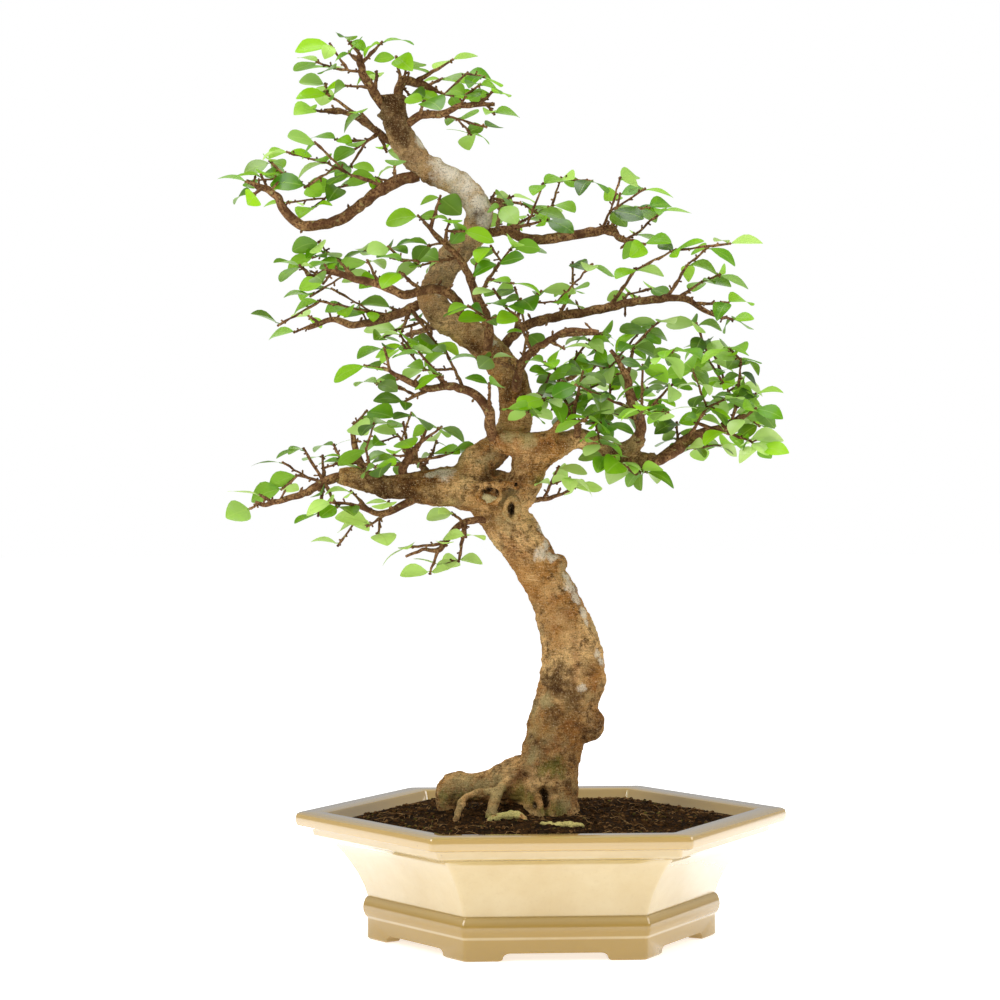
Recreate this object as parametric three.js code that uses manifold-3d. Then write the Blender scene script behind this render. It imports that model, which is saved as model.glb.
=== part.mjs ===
// An acerola bonsai in a low six-sided glazed pot, as a tree of named meshes.
// Millimetres, Z up. The pot has a flat side to the front (-Y) and two corners on the X axis.
// The tree has its own frame: X to the right, Y to the back, origin at the pot's centre on the
// ground, turned a little against the pot.

import * as THREE from 'three';
import { mergeVertices } from 'three/addons/utils/BufferGeometryUtils.js';
import Module from 'manifold-3d';

const wasm = await Module();
wasm.setup();

// Driving dimensions

const gap = 0.3; // clearance between neighbouring pieces
const treeTurn = -4.25; // degrees, the tree against the pot

const rimRadius = 200; // centre to corner, as are the pot's other radii
const rimInnerRadius = 174;
const rimTop = 104;
const rimDepth = 9.5;
const beltRadius = 145.5;
const apronRadius = 142;
const apronTop = 17;
const bodyFootRadius = 142.5;
const bodyFootHeight = 36.5;
const wallThickness = 9;
const floorBottom = 10;
const floorTop = 18;
const footLength = 30; // along each side, from the corner
const archHeight = 6.3; // of the cut-outs between the feet
const drainRadius = 10;
const drainPlace = 62;

const soilEdgeHeight = 96;
const soilCrownHeight = 103;
const soilWaves = 4;
const soilSides = 12;

const socketSteps = 2; // points of a spray's stem that its socket in the wood follows
const twigTipRadius = 1;
const twigClearance = 1.6; // between the wood of two sprays
const leafThickness = 1.4; // at the rib, thinning to the edges
const leafDroop = 0.16; // of the length
const leafFold = 0.06; // of the width
const leafMinLength = 22;
const leafMaxLength = 31;
const leafMinSlimness = 0.6; // width to length
const leafTurn = 0.3; // radians, a leaf's bearing from its twig's

// Routes of the wood, each a list of [x, y, z, radius]

const limbs = {
  lowerTrunk: [
    [5, -6, 82, 26.1], [4, -5, 113, 25.7], [6, -4, 139, 24.5], [10, -4, 162, 24.5],
    [19, -3, 192, 26.1], [25, -2, 214, 27.3], [24, 0, 235, 25.3], [15, 1, 265, 20.8],
    [6, 2, 286, 19.6], [-5, 4, 305, 18.4], [-19, 4, 327, 19.6], [-32, 4, 345, 20.4],
    [-41, 4, 359, 20.4], [-48, 4, 371, 17.1],
  ],
  middleTrunk: [
    [-41, 4, 358, 18], [-53, 5, 377, 17.5], [-52, 6, 391, 15.5], [-43, 8, 401, 13.9],
    [-30, 9, 410, 13.1], [-21, 10, 423, 13.9], [-21, 9, 438, 13.9], [-26, 8, 459, 13.5],
    [-41, 8, 478, 12.6], [-61, 7, 495, 12.6], [-84, 6, 511, 12.2], [-90, 5, 521, 11.4],
    [-86, 4, 534, 11], [-74, 2, 555, 11.8], [-57, 1, 574, 11.4], [-52, 0, 589, 11],
    [-56, 0, 603, 11], [-70, 0, 616, 10.6], [-92, 0, 627, 10.6], [-109, 0, 644, 11],
    [-119, 0, 664, 11.4], [-122, 0, 681, 9.8], [-123, 0, 686, 6.5],
  ],
  leftLimb: [
    [-41, 4, 359, 16.3], [-59, 2, 366, 18], [-77, 0, 369, 16.7], [-93, -2, 368, 15.1],
    [-110, -4, 369, 11.4], [-126, -6, 369, 9.8], [-144, -7, 374, 9], [-160, -8, 377, 7.8],
    [-166, -10, 378, 5.7],
  ],
  rightLimb: [
    [-30, 3, 353, 16.3], [-19, 1, 364, 14.7], [-12, 0, 378, 13.9], [-6, -2, 390, 13.1],
    [4, -3, 398, 11.4], [16, -5, 404, 9.8], [29, -6, 408, 8.2], [41, -4, 405, 8.2],
    [52, -2, 399, 7.8], [65, 0, 395, 8.2], [80, 2, 390, 7.3], [93, 4, 391, 5.7],
  ],
  rightLimbFork: [
    [59, -1, 397, 6.5], [70, -3, 400, 7.3], [77, -5, 405, 6.5], [80, -7, 410, 5.3],
  ],
  crossLimb: [
    [-40, -1, 405, 9], [-33, -5, 406, 10.2], [-22, -8, 404, 10.2], [-9, -10, 404, 9.5],
    [3, -12, 408, 7.3], [11, -16, 416, 4.1], [17, -19, 425, 2.3], [19, -22, 433, 1.3],
  ],
  hiddenLimb: [
    [-48, 12, 376, 5.7], [-33, 12, 379, 5.7], [-13, 12, 371, 6.5],
  ],
  leftRoot: [
    [3, 0, 128, 20], [-14, 4, 132, 17.6], [-30, 8, 127, 15.1], [-46, 12, 122, 12.7],
    [-61, 15, 121, 11.8], [-73, 18, 121, 12.6], [-77, 20, 110, 11.4], [-76, 21, 96, 8.6],
  ],
  archedRoot: [
    [-18, -8, 136, 5.7], [-28, -17, 130, 4.5], [-36, -26, 120, 4.1], [-42, -32, 106, 4.1],
    [-44, -38, 88, 3.3],
  ],
  thinRoot: [
    [-25, -14, 129, 3.3], [-39, -22, 122, 2.9], [-52, -30, 122, 2.8], [-63, -35, 118, 2.8],
    [-68, -39, 107, 2.6], [-73, -44, 88, 2.4],
  ],
  greenRoot: [
    [2, -14, 90, 8.2], [-12, -26, 94, 6.9], [-26, -35, 100, 7.3], [-37, -38, 97, 6.5],
    [-49, -40, 83, 4.5],
  ],
  frontRoot: [
    [5, -16, 88, 8.2], [1, -34, 91, 6.5], [14, -46, 99, 6.3], [30, -47, 98, 5.7],
    [42, -45, 85, 3.7],
  ],
  rearRoot: [
    [5, 4, 128, 18], [10, 28, 111, 12.2], [22, 56, 100, 8.2], [55, 92, 83, 4.1],
  ],
  rearLeftRoot: [
    [-2, 8, 124, 14.7], [-15, 30, 111, 9.8], [-34, 56, 101, 6.5], [-53, 82, 82, 3.3],
  ],
};

// Lumps on the wood: centre, half sizes

const swellings = [
  { at: [36, -6, 180], size: [13, 14, 15] }, // burl low on the right
  { at: [12, -2, 306], size: [9, 10, 8] }, // knob on the bend
  { at: [-42, -14, 362], size: [11, 9, 8] }, // old pruning cut
  { at: [-92, 0, 626], size: [10, 11, 10] },
];

// Sprays: stem points [x, y, z, radius] from inside the wood outwards, the ends of its twigs
// as [x, z], and how far to the front and back those ends spread

const sprays = {
  spray_crown_left: {
    depth: 34,
    stem: [
      [-127, 0, 676, 3.7], [-133, -4, 684, 3.9], [-139, -8, 693, 3.8], [-146, -11, 705, 3.4],
      [-148, -15, 719, 2.4],
    ],
    tips: [
      [-155, 717], [-135, 706], [-158, 693], [-168, 709], [-156, 728], [-130, 726], [-172, 728],
      [-182, 713],
    ],
  },
  spray_crown_right: {
    depth: 34,
    stem: [
      [-118, 2, 679, 3.8], [-117, 5, 692, 3.9], [-113, 7, 700, 4.1], [-104, 10, 699, 3.8],
      [-95, 12, 696, 3.3], [-86, 15, 692, 2.4],
    ],
    tips: [
      [-118, 715], [-111, 709], [-108, 688], [-83, 704], [-74, 688], [-74, 715], [-62, 706],
      [-48, 702],
    ],
  },
  spray_upper_right: {
    depth: 30,
    stem: [
      [-117, 0, 659, 3.4], [-107, -4, 666, 3.6], [-99, -7, 671, 3.6], [-89, -11, 671, 3.3],
      [-79, -14, 672, 2.9], [-67, -18, 677, 2.4], [-52, -21, 678, 2.1], [-39, -25, 678, 1.6],
    ],
    tips: [
      [-96, 679], [-69, 668], [-62, 685], [-59, 658], [-47, 663], [-51, 692], [-42, 688],
      [-40, 671],
    ],
  },
  spray_upper_left: {
    depth: 30,
    stem: [
      [-119, 2, 647, 2.8], [-129, 8, 654, 2.9], [-139, 13, 662, 2.9], [-153, 19, 671, 2.3],
      [-167, 24, 678, 2], [-179, 30, 678, 1.5],
    ],
    tips: [
      [-146, 671], [-128, 644], [-151, 644], [-157, 631], [-167, 651], [-174, 687], [-177, 697],
      [-185, 676],
    ],
  },
  spray_left_upper: {
    depth: 44,
    stem: [
      [-101, 0, 622, 4.6], [-114, -2, 619, 5.1], [-127, -5, 613, 5.1], [-140, -7, 604, 4.9],
      [-152, -9, 594, 4.6], [-166, -12, 585, 4.6], [-182, -14, 581, 4.4], [-195, -16, 581, 4.4],
      [-204, -18, 588, 3.9], [-211, -21, 595, 3.6], [-214, -23, 603, 3.3],
      [-222, -25, 609, 2.8], [-230, -28, 612, 2.3], [-239, -30, 616, 1.6],
    ],
    tips: [
      [-119, 626], [-135, 621], [-158, 623], [-167, 614], [-175, 632], [-182, 645], [-187, 597],
      [-192, 613], [-208, 602], [-208, 621], [-205, 639], [-222, 634], [-227, 620], [-231, 604],
      [-240, 617],
    ],
  },
  spray_left_middle: {
    depth: 38,
    stem: [
      [-67, -2, 510, 3.3], [-68, -10, 518, 3.4], [-75, -15, 525, 3.8], [-86, -19, 529, 3.9],
      [-98, -22, 528, 3.8], [-112, -26, 524, 3.4], [-125, -30, 530, 3.3], [-138, -34, 534, 3.1],
      [-151, -37, 537, 2.9], [-165, -41, 541, 2.6], [-175, -45, 542, 2.4], [-184, -48, 538, 2],
      [-190, -51, 543, 1.5],
    ],
    tips: [
      [-114, 541], [-135, 539], [-141, 551], [-154, 546], [-164, 551], [-175, 533], [-175, 560],
      [-181, 567], [-188, 525], [-186, 556], [-194, 546],
    ],
  },
  spray_left_lower: {
    depth: 34,
    stem: [
      [-88, 6, 516, 3.6], [-101, 11, 518, 3.9], [-115, 16, 511, 3.9], [-131, 21, 506, 3.8],
      [-146, 26, 503, 3.3], [-158, 31, 502, 2.9], [-171, 36, 506, 2.6], [-184, 41, 503, 2.1],
      [-194, 46, 499, 1.6],
    ],
    tips: [
      [-115, 492], [-123, 515], [-107, 481], [-87, 486], [-140, 512], [-158, 515], [-171, 530],
      [-181, 520], [-193, 509], [-203, 496], [-214, 501],
    ],
  },
  spray_middle_left: {
    depth: 44,
    stem: [
      [-37, -2, 404, 4.1], [-42, -15, 415, 4.6], [-43, -19, 430, 4.2], [-52, -23, 441, 3.8],
      [-64, -27, 448, 3.4], [-78, -32, 451, 3.3], [-91, -36, 449, 2.9], [-102, -40, 452, 2.6],
      [-113, -44, 457, 2.3], [-123, -48, 463, 1.6],
    ],
    tips: [
      [-43, 452], [-78, 478], [-83, 460], [-96, 464], [-112, 438], [-99, 477], [-118, 451],
      [-127, 480], [-114, 485], [-134, 453], [-142, 467],
    ],
  },
  spray_center: {
    depth: 40,
    stem: [
      [-45, -6, 482, 3.9], [-43, -16, 493, 4.2], [-47, -17, 509, 4.4], [-53, -19, 522, 4.1],
      [-57, -20, 533, 3.6], [-64, -23, 549, 2.9], [-74, -26, 561, 2.6], [-85, -30, 571, 2.1],
      [-96, -34, 583, 1.5],
    ],
    tips: [
      [-36, 548], [-52, 556], [-83, 551], [-75, 583], [-99, 548], [-112, 551], [-65, 575],
      [-91, 564], [-101, 590], [-83, 603], [-123, 561], [-143, 561], [-25, 562], [-41, 562],
      [-7, 566], [-25, 533],
    ],
  },
  spray_right_upper: {
    depth: 51,
    stem: [
      [-54, 2, 577, 3.8], [-43, 5, 576, 4.2], [-31, 8, 578, 4.2], [-18, 11, 573, 4.2],
      [0, 14, 571, 4.1], [20, 16, 574, 4.1], [39, 19, 577, 4.1], [57, 22, 580, 3.8],
      [63, 25, 573, 2.4], [73, 28, 568, 1.6],
    ],
    tips: [
      [-34, 594], [-15, 587], [3, 585], [8, 599], [56, 594], [0, 613], [15, 620], [39, 617],
      [65, 610], [77, 576], [82, 566], [79, 599], [64, 621], [82, 610], [88, 599], [98, 594],
    ],
  },
  spray_right_middle: {
    depth: 45,
    stem: [
      [-38, 6, 475, 3.8], [-29, 9, 487, 4.1], [-16, 11, 499, 4.1], [-2, 14, 505, 4.1],
      [13, 17, 508, 3.9], [31, 19, 511, 3.8], [56, 22, 516, 3.6], [74, 25, 520, 3.4],
      [92, 27, 522, 3.3], [113, 30, 524, 2.9], [126, 33, 519, 2.4], [138, 35, 512, 2],
      [147, 38, 508, 1.5],
    ],
    tips: [
      [-18, 520], [-2, 527], [12, 519], [25, 530], [25, 551], [39, 548], [71, 527], [76, 546],
      [90, 532], [120, 551], [107, 561], [133, 538], [135, 564], [149, 565], [146, 543],
      [151, 519], [159, 507],
    ],
  },
  spray_center_front: {
    depth: 46,
    stem: [
      [-22, 2, 446, 3.8], [-20, -14, 457, 4.1], [-17, -21, 469, 3.8], [-9, -28, 478, 3.3],
      [4, -35, 487, 2.8], [19, -42, 495, 2.4], [31, -49, 495, 2.1], [44, -56, 494, 1.6],
    ],
    tips: [
      [1, 469], [-12, 493], [16, 481], [-41, 473], [-52, 473], [-20, 506], [-30, 514],
      [-44, 504], [-39, 527], [-22, 530], [-59, 514], [48, 494],
    ],
  },
  spray_pad_inner: {
    depth: 72,
    stem: [
      [77, -5, 402, 4.1], [80, -11, 417, 4.6], [77, -13, 431, 4.4], [71, -15, 443, 3.9],
      [69, -16, 456, 3.3], [63, -18, 469, 2.4], [55, -20, 480, 1.6],
    ],
    tips: [
      [79, 433], [56, 430], [97, 430], [87, 449], [42, 441], [79, 466], [56, 466], [105, 451],
      [40, 470], [74, 483], [102, 478], [81, 496], [95, 503], [27, 451], [39, 488],
    ],
  },
  spray_pad_outer: {
    depth: 60,
    stem: [
      [83, 2, 390, 4.1], [96, 5, 391, 4.9], [106, 8, 397, 5.1], [118, 11, 406, 5.1],
      [130, 14, 412, 4.6], [148, 16, 417, 3.6], [164, 19, 426, 2.4], [173, 22, 430, 1.6],
    ],
    tips: [
      [125, 400], [111, 420], [133, 433], [149, 402], [148, 440], [166, 407], [161, 443],
      [121, 463], [152, 458], [139, 472], [162, 472], [166, 453], [174, 444], [170, 432],
      [179, 419], [172, 401], [141, 489], [129, 502], [153, 481],
    ],
  },
  spray_pad_near: {
    depth: 40,
    stem: [
      [27, -7, 406, 2.8], [29, -20, 417, 2.9], [24, -25, 424, 2.8], [16, -29, 431, 2.4],
      [11, -34, 436, 1.6],
    ],
    tips: [
      [35, 425], [16, 446], [1, 440], [-12, 430], [33, 443], [32, 461], [11, 465], [51, 420],
      [46, 404],
    ],
  },
  spray_pad_under: {
    depth: 22,
    stem: [
      [70, -2, 393, 2.6], [71, -13, 386, 2.6], [76, -24, 380, 2],
    ],
    tips: [
      [63, 389], [84, 381], [50, 394],
    ],
  },
  spray_low_tip: {
    depth: 30,
    stem: [
      [-158, -8, 377, 3.6], [-171, -12, 376, 4.1], [-184, -15, 369, 3.6], [-197, -19, 362, 2.9],
      [-210, -23, 359, 2.4], [-224, -26, 355, 2], [-232, -30, 357, 1.3],
    ],
    tips: [
      [-166, 354], [-182, 347], [-179, 362], [-180, 393], [-167, 388], [-193, 399], [-200, 378],
      [-210, 388], [-213, 367], [-229, 362], [-236, 352],
    ],
  },
  spray_low_left: {
    depth: 46,
    stem: [
      [-140, -6, 371, 3.6], [-146, 0, 382, 3.8], [-151, 6, 393, 3.3], [-154, 12, 403, 2.4],
      [-156, 18, 412, 1.6],
    ],
    tips: [
      [-134, 386], [-164, 389], [-143, 399], [-172, 402], [-154, 420], [-136, 420], [-144, 430],
    ],
  },
  spray_low_middle: {
    depth: 46,
    stem: [
      [-111, -2, 371, 3.6], [-114, -6, 383, 3.8], [-109, -10, 392, 3.3], [-104, -14, 399, 2.6],
      [-99, -18, 405, 1.6],
    ],
    tips: [
      [-126, 388], [-75, 396], [-114, 407], [-87, 405], [-93, 418], [-106, 428], [-113, 420],
      [-83, 417],
    ],
  },
  spray_low_under: {
    depth: 26,
    stem: [
      [-100, -6, 360, 2.9], [-111, -14, 355, 3.1], [-122, -22, 350, 2.8], [-134, -30, 348, 2.4],
      [-145, -38, 353, 2.1], [-155, -46, 356, 1.5],
    ],
    tips: [
      [-124, 357], [-140, 338], [-133, 331], [-154, 339], [-154, 365], [-169, 357], [-167, 321],
    ],
  },
  spray_hanging: {
    depth: 28,
    stem: [
      [-45, -8, 342, 2.8], [-57, -16, 342, 3.1], [-69, -23, 337, 2.9], [-76, -30, 328, 2.6],
      [-84, -36, 319, 2.1], [-96, -43, 319, 1.6], [-110, -50, 314, 1.1],
    ],
    tips: [
      [-62, 330], [-73, 347], [-78, 323], [-68, 309], [-82, 304], [-91, 300], [-109, 320],
    ],
  },
  spray_fork_right: {
    depth: 22,
    stem: [
      [-17, 4, 356, 2.3], [-4, 14, 358, 2.3], [7, 24, 359, 2], [17, 34, 362, 1.3],
    ],
    tips: [
      [7, 371], [13, 384], [21, 376], [26, 367],
    ],
  },
  spray_back_crown: {
    depth: 22,
    stem: [
      [-57, 6, 598, 2.9], [-49, 16, 601, 2.9], [-38, 44, 602, 2.4], [-28, 72, 602, 1.6],
    ],
    tips: [
      [-39, 608], [-25, 608], [-15, 600], [-30, 591], [-5, 593],
    ],
  },
  spray_back_left: {
    depth: 26,
    stem: [
      [-79, 8, 507, 3.1], [-85, 20, 502, 3.1], [-98, 56, 498, 2.6], [-114, 92, 494, 1.6],
    ],
    tips: [
      [-91, 489], [-102, 508], [-119, 498], [-114, 484], [-131, 491],
    ],
  },
  spray_back_right: {
    depth: 30,
    stem: [
      [-20, 14, 431, 3.4], [-10, 30, 438, 3.4], [6, 59, 448, 2.9], [24, 89, 458, 2.1],
      [39, 118, 467, 1.6],
    ],
    tips: [
      [6, 460], [16, 440], [27, 473], [41, 453], [49, 471], [59, 458], [36, 485],
    ],
  },
  spray_back_low: {
    depth: 28,
    stem: [
      [-88, 4, 369, 3.3], [-94, 24, 379, 3.3], [-103, 64, 388, 2.8], [-116, 104, 397, 1.6],
    ],
    tips: [
      [-91, 395], [-106, 405], [-119, 410], [-124, 393], [-134, 405], [-114, 388],
    ],
  },
};

// Materials

function surface(color, roughness) {
  return new THREE.MeshStandardMaterial({ color, roughness, metalness: 0 });
}

const glaze = surface(0xead9ae, 0.15);
const earth = surface(0x2e2018, 0.95);
const bark = surface(0x8c6a42, 0.85);
const foliage = surface(0x5f9a2e, 0.5);

// Solids

function toSolid(geometry) {
  const bare = geometry.clone();
  bare.deleteAttribute('normal');
  bare.deleteAttribute('uv');
  const merged = mergeVertices(bare, 1e-4);
  return new wasm.Manifold(new wasm.Mesh({
    numProp: 3,
    vertProperties: new Float32Array(merged.attributes.position.array),
    triVerts: new Uint32Array(merged.index.array),
  }));
}

function toMesh(name, solid, material) {
  const { vertProperties, triVerts } = solid.getMesh();
  const geometry = new THREE.BufferGeometry();
  geometry.setAttribute('position', new THREE.BufferAttribute(new Float32Array(vertProperties), 3));
  geometry.setIndex(new THREE.BufferAttribute(new Uint32Array(triVerts), 1));
  const mesh = new THREE.Mesh(geometry, material);
  mesh.name = name;
  return mesh;
}

function closedGeometry(points, faces) {
  const geometry = new THREE.BufferGeometry();
  geometry.setAttribute('position', new THREE.Float32BufferAttribute(points.flat(), 3));
  geometry.setIndex(faces.flat());
  return geometry;
}

// Faces of a skin stretched over rings of equal size, listed one after another, ends closed.
// A pointed skin ends in one more point instead. A ring's halves are split alike
function ringFaces(ringCount, sides, pointed = false) {
  const faces = [];
  for (let ring = 0; ring + 1 < ringCount; ring += 1) {
    for (let side = 0; side < sides; side += 1) {
      const near = ring * sides + side;
      const nearNext = ring * sides + (side + 1) % sides;
      const far = near + sides;
      const farNext = nearNext + sides;
      if (side < sides / 2) {
        faces.push([near, nearNext, farNext], [near, farNext, far]);
      } else {
        faces.push([near, nearNext, far], [nearNext, farNext, far]);
      }
    }
  }
  const last = (ringCount - 1) * sides;
  for (let side = 1; side + 1 < sides; side += 1) {
    faces.push([0, side + 1, side]);
    if (!pointed) {
      faces.push([last, last + side, last + side + 1]);
    }
  }
  for (let side = 0; pointed && side < sides; side += 1) {
    faces.push([last + side, last + (side + 1) % sides, last + sides]);
  }
  return faces;
}

function placeOf([x, y, z]) {
  return new THREE.Vector3(x, y, z);
}

function ringPoints(centre, normal, across, radius, sides) {
  const points = [];
  for (let side = 0; side < sides; side += 1) {
    const angle = 2 * Math.PI * side / sides;
    const point = centre.clone().addScaledVector(normal, radius * Math.cos(angle));
    points.push(point.addScaledVector(across, radius * Math.sin(angle)).toArray());
  }
  return points;
}

// A closed tapering tube through a route's points. grow makes it fatter and longer at its ends
function tube(route, sides, grow = 0, ringCount = route.length) {
  const centres = route.map(placeOf);
  const points = [];
  const normal = new THREE.Vector3(0, 1, 0);
  for (let ring = 0; ring < ringCount; ring += 1) {
    const before = centres[Math.max(ring - 1, 0)];
    const after = centres[Math.min(ring + 1, centres.length - 1)];
    const along = after.clone().sub(before).normalize();
    if (ring === 0 && Math.abs(along.y) > 0.9) {
      normal.set(1, 0, 0);
    }
    normal.addScaledVector(along, -normal.dot(along)).normalize();
    const across = along.clone().cross(normal);
    const shift = { 0: -grow, [route.length - 1]: grow }[ring] ?? 0;
    const centre = centres[ring].clone().addScaledVector(along, shift);
    points.push(...ringPoints(centre, normal, across, route[ring][3] + grow, sides));
  }
  return toSolid(closedGeometry(points, ringFaces(ringCount, sides)));
}

// The largest body of a solid, without loose scraps and with hollows filled
function whole(solid) {
  const bodies = solid.decompose();
  return bodies.reduce((best, body) => (body.volume() > best.volume() ? body : best));
}

function joined(solids) {
  return wasm.Manifold.union(solids);
}

function ellipsoid([x, y, z], [a, b, c]) {
  const geometry = new THREE.SphereGeometry(1, 7, 4);
  geometry.scale(a, b, c);
  geometry.translate(x, y, z);
  return toSolid(geometry);
}

// Pot

function hexagonal(profile) {
  const points = profile.map(([radius, height]) => new THREE.Vector2(radius, height));
  const geometry = new THREE.LatheGeometry(points, 6, Math.PI / 2);
  geometry.rotateX(Math.PI / 2);
  return toSolid(geometry);
}

// Outer side of the wall from the belt up to the rim, as [corner radius, height]
const wallProfile = [
  [bodyFootRadius, bodyFootHeight],
  [bodyFootRadius + 8, bodyFootHeight + 18],
  [bodyFootRadius + 18, bodyFootHeight + 34.5],
  [bodyFootRadius + 29, bodyFootHeight + 46.5],
  [bodyFootRadius + 36, rimTop - rimDepth - 6],
];

const innerProfile = [
  [rimInnerRadius, rimTop - 1],
  [rimInnerRadius - 4, rimTop - rimDepth - 4],
  [bodyFootRadius + 18 - wallThickness, bodyFootHeight + 32],
  [bodyFootRadius + 4 - wallThickness, bodyFootHeight + 8],
  [bodyFootRadius - 8 - wallThickness, floorTop + 6],
  [bodyFootRadius - 14 - wallThickness, floorTop],
];

function footArch() {
  const top = Math.sqrt(3) / 2 * apronRadius;
  const half = apronRadius / 2 - footLength;
  const outline = new THREE.Shape();
  outline.moveTo(-half - 4, -2);
  outline.lineTo(-half - 4, 0);
  outline.quadraticCurveTo(-half, 1, -half + 1, archHeight - 2);
  outline.quadraticCurveTo(-half + 3, archHeight, -half + 8, archHeight);
  outline.lineTo(half - 8, archHeight);
  outline.quadraticCurveTo(half - 3, archHeight, half - 1, archHeight - 2);
  outline.quadraticCurveTo(half, 1, half + 4, 0);
  outline.lineTo(half + 4, -2);
  const geometry = new THREE.ExtrudeGeometry(outline, {
    depth: 40, steps: 1, bevelEnabled: false, curveSegments: 2,
  });
  geometry.translate(0, 0, top - 25);
  geometry.rotateX(Math.PI / 2);
  return geometry;
}

function makePot() {
  const shell = hexagonal([
    [0, floorBottom], [apronRadius - 17, floorBottom], [apronRadius - 14, 0],
    [apronRadius, 0], [apronRadius, apronTop],
    [beltRadius - 1.5, apronTop + 2.5], [beltRadius, apronTop + 6], [beltRadius, apronTop + 12],
    [beltRadius - 1.5, apronTop + 16], [bodyFootRadius - 1, bodyFootHeight - 1.5],
    ...wallProfile,
    [rimRadius - 14, rimTop - rimDepth - 5], [rimRadius - 13, rimTop - rimDepth],
    [rimRadius - 1.5, rimTop - rimDepth + 0.5], [rimRadius, rimTop - rimDepth + 3],
    [rimRadius, rimTop - 2.5], [rimRadius - 2.5, rimTop],
    [rimInnerRadius + 1.5, rimTop],
    ...innerProfile,
    [0, floorTop],
  ]);
  let pot = shell;
  for (let side = 0; side < 6; side += 1) {
    const arch = footArch().rotateZ(Math.PI / 3 * side);
    pot = pot.subtract(toSolid(arch));
  }
  for (const place of [-drainPlace, drainPlace]) {
    const drain = new THREE.CylinderGeometry(drainRadius, drainRadius, 40, 16);
    drain.rotateX(Math.PI / 2);
    drain.translate(place, 0, floorTop);
    pot = pot.subtract(toSolid(drain));
  }
  return pot;
}

// Soil, with a low mound under the tree and a slightly uneven top

// Reach of a hexagon at an angle, as a share of its corner radius. Its corners are on the X axis
function hexagonReach(angle) {
  const sector = Math.PI / 3;
  return Math.cos(sector / 2) / Math.cos(angle % sector - sector / 2);
}

function soilRing(radius, heightAt) {
  const points = [];
  for (let side = 0; side < soilSides; side += 1) {
    const angle = 2 * Math.PI * side / soilSides;
    const reach = radius * hexagonReach(angle);
    points.push([reach * Math.cos(angle), reach * Math.sin(angle), heightAt(angle)]);
  }
  return points;
}

function soilSurface(share, angle) {
  const mound = (soilCrownHeight - soilEdgeHeight) * (1 - share * share);
  const waves = soilWaves * share * (1 - share) * Math.sin(angle * 3 + share * 9);
  return soilEdgeHeight + mound + waves;
}

function makeSoil() {
  const wall = [...innerProfile].reverse();
  const edgeRadius = radiusAt(wall, soilEdgeHeight) - gap * 2;
  const below = wall.filter(([, height]) => height < soilEdgeHeight);
  const points = [
    ...below.flatMap(([radius, height]) => soilRing(radius - gap * 2, () => height + gap)),
    ...[1, 0.5, 0.15].flatMap((share) => soilRing(edgeRadius * share,
      (angle) => soilSurface(share, angle))),
  ];
  return toSolid(closedGeometry(points, ringFaces(points.length / soilSides, soilSides)));
}

function radiusAt(profile, height) {
  for (let index = 0; index + 1 < profile.length; index += 1) {
    const [lowRadius, low] = profile[index];
    const [highRadius, high] = profile[index + 1];
    if (height <= high) {
      return lowRadius + (highRadius - lowRadius) * (height - low) / (high - low);
    }
  }
  return profile[profile.length - 1][0];
}

// Growth rule of the sprays: every twig end joins the nearest good place on what has grown

function seeded(seed) {
  let state = seed * 7919 + 17;
  const draw = () => {
    state = (state * 16807) % 2147483647;
    return state / 2147483647;
  };
  draw();
  draw();
  return draw;
}

// Least distance between two straight stretches
function stretchDistance(one, two) {
  const d1 = one.to.clone().sub(one.from);
  const d2 = two.to.clone().sub(two.from);
  const between = one.from.clone().sub(two.from);
  const a = d1.dot(d1);
  const e = d2.dot(d2);
  const f = d2.dot(between);
  const c = d1.dot(between);
  const b = d1.dot(d2);
  const spread = a * e - b * b;
  let s = spread > 1e-9 ? THREE.MathUtils.clamp((b * f - c * e) / spread, 0, 1) : 0;
  let t = (b * s + f) / e;
  if (t < 0 || t > 1) {
    t = THREE.MathUtils.clamp(t, 0, 1);
    s = THREE.MathUtils.clamp((b * t - c) / a, 0, 1);
  }
  const near = one.from.clone().addScaledVector(d1, s);
  const other = two.from.clone().addScaledVector(d2, t);
  return near.distanceTo(other);
}

function stretchesOf(route, owner) {
  const stretches = [];
  for (let index = 0; index + 1 < route.length; index += 1) {
    stretches.push({
      from: placeOf(route[index]),
      to: placeOf(route[index + 1]),
      radius: Math.max(route[index][3], route[index + 1][3]),
      owner,
    });
  }
  return stretches;
}

function isClear(stretch, stretches, owner, margin) {
  return stretches.every((other) => other.owner === owner
    || stretchDistance(stretch, other) > stretch.radius + other.radius + margin);
}

// Places on a spray that a twig may start from
function startPlaces(stem) {
  const places = [];
  let path = 0;
  for (let index = 1; index < stem.length; index += 1) {
    const from = placeOf(stem[index - 1]);
    const to = placeOf(stem[index]);
    const heading = to.clone().sub(from).normalize();
    const step = to.distanceTo(from);
    if (index > 1) {
      const middle = from.clone().lerp(to, 0.5);
      const radius = (stem[index - 1][3] + stem[index][3]) / 2;
      places.push({ point: middle, radius, path: path + step / 2, heading });
      places.push({ point: to, radius: stem[index][3], path: path + step, heading });
    }
    path += step;
  }
  return places;
}

function bestStart(places, end) {
  let best = null;
  let bestCost = Infinity;
  for (const place of places) {
    const reach = end.clone().sub(place.point);
    const distance = reach.length();
    const bend = 1 - reach.dot(place.heading) / Math.max(distance, 1);
    const cost = distance + 0.3 * place.path + 9 * bend;
    if (distance > 5 && cost < bestCost) {
      best = place;
      bestCost = cost;
    }
  }
  return best;
}

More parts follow.
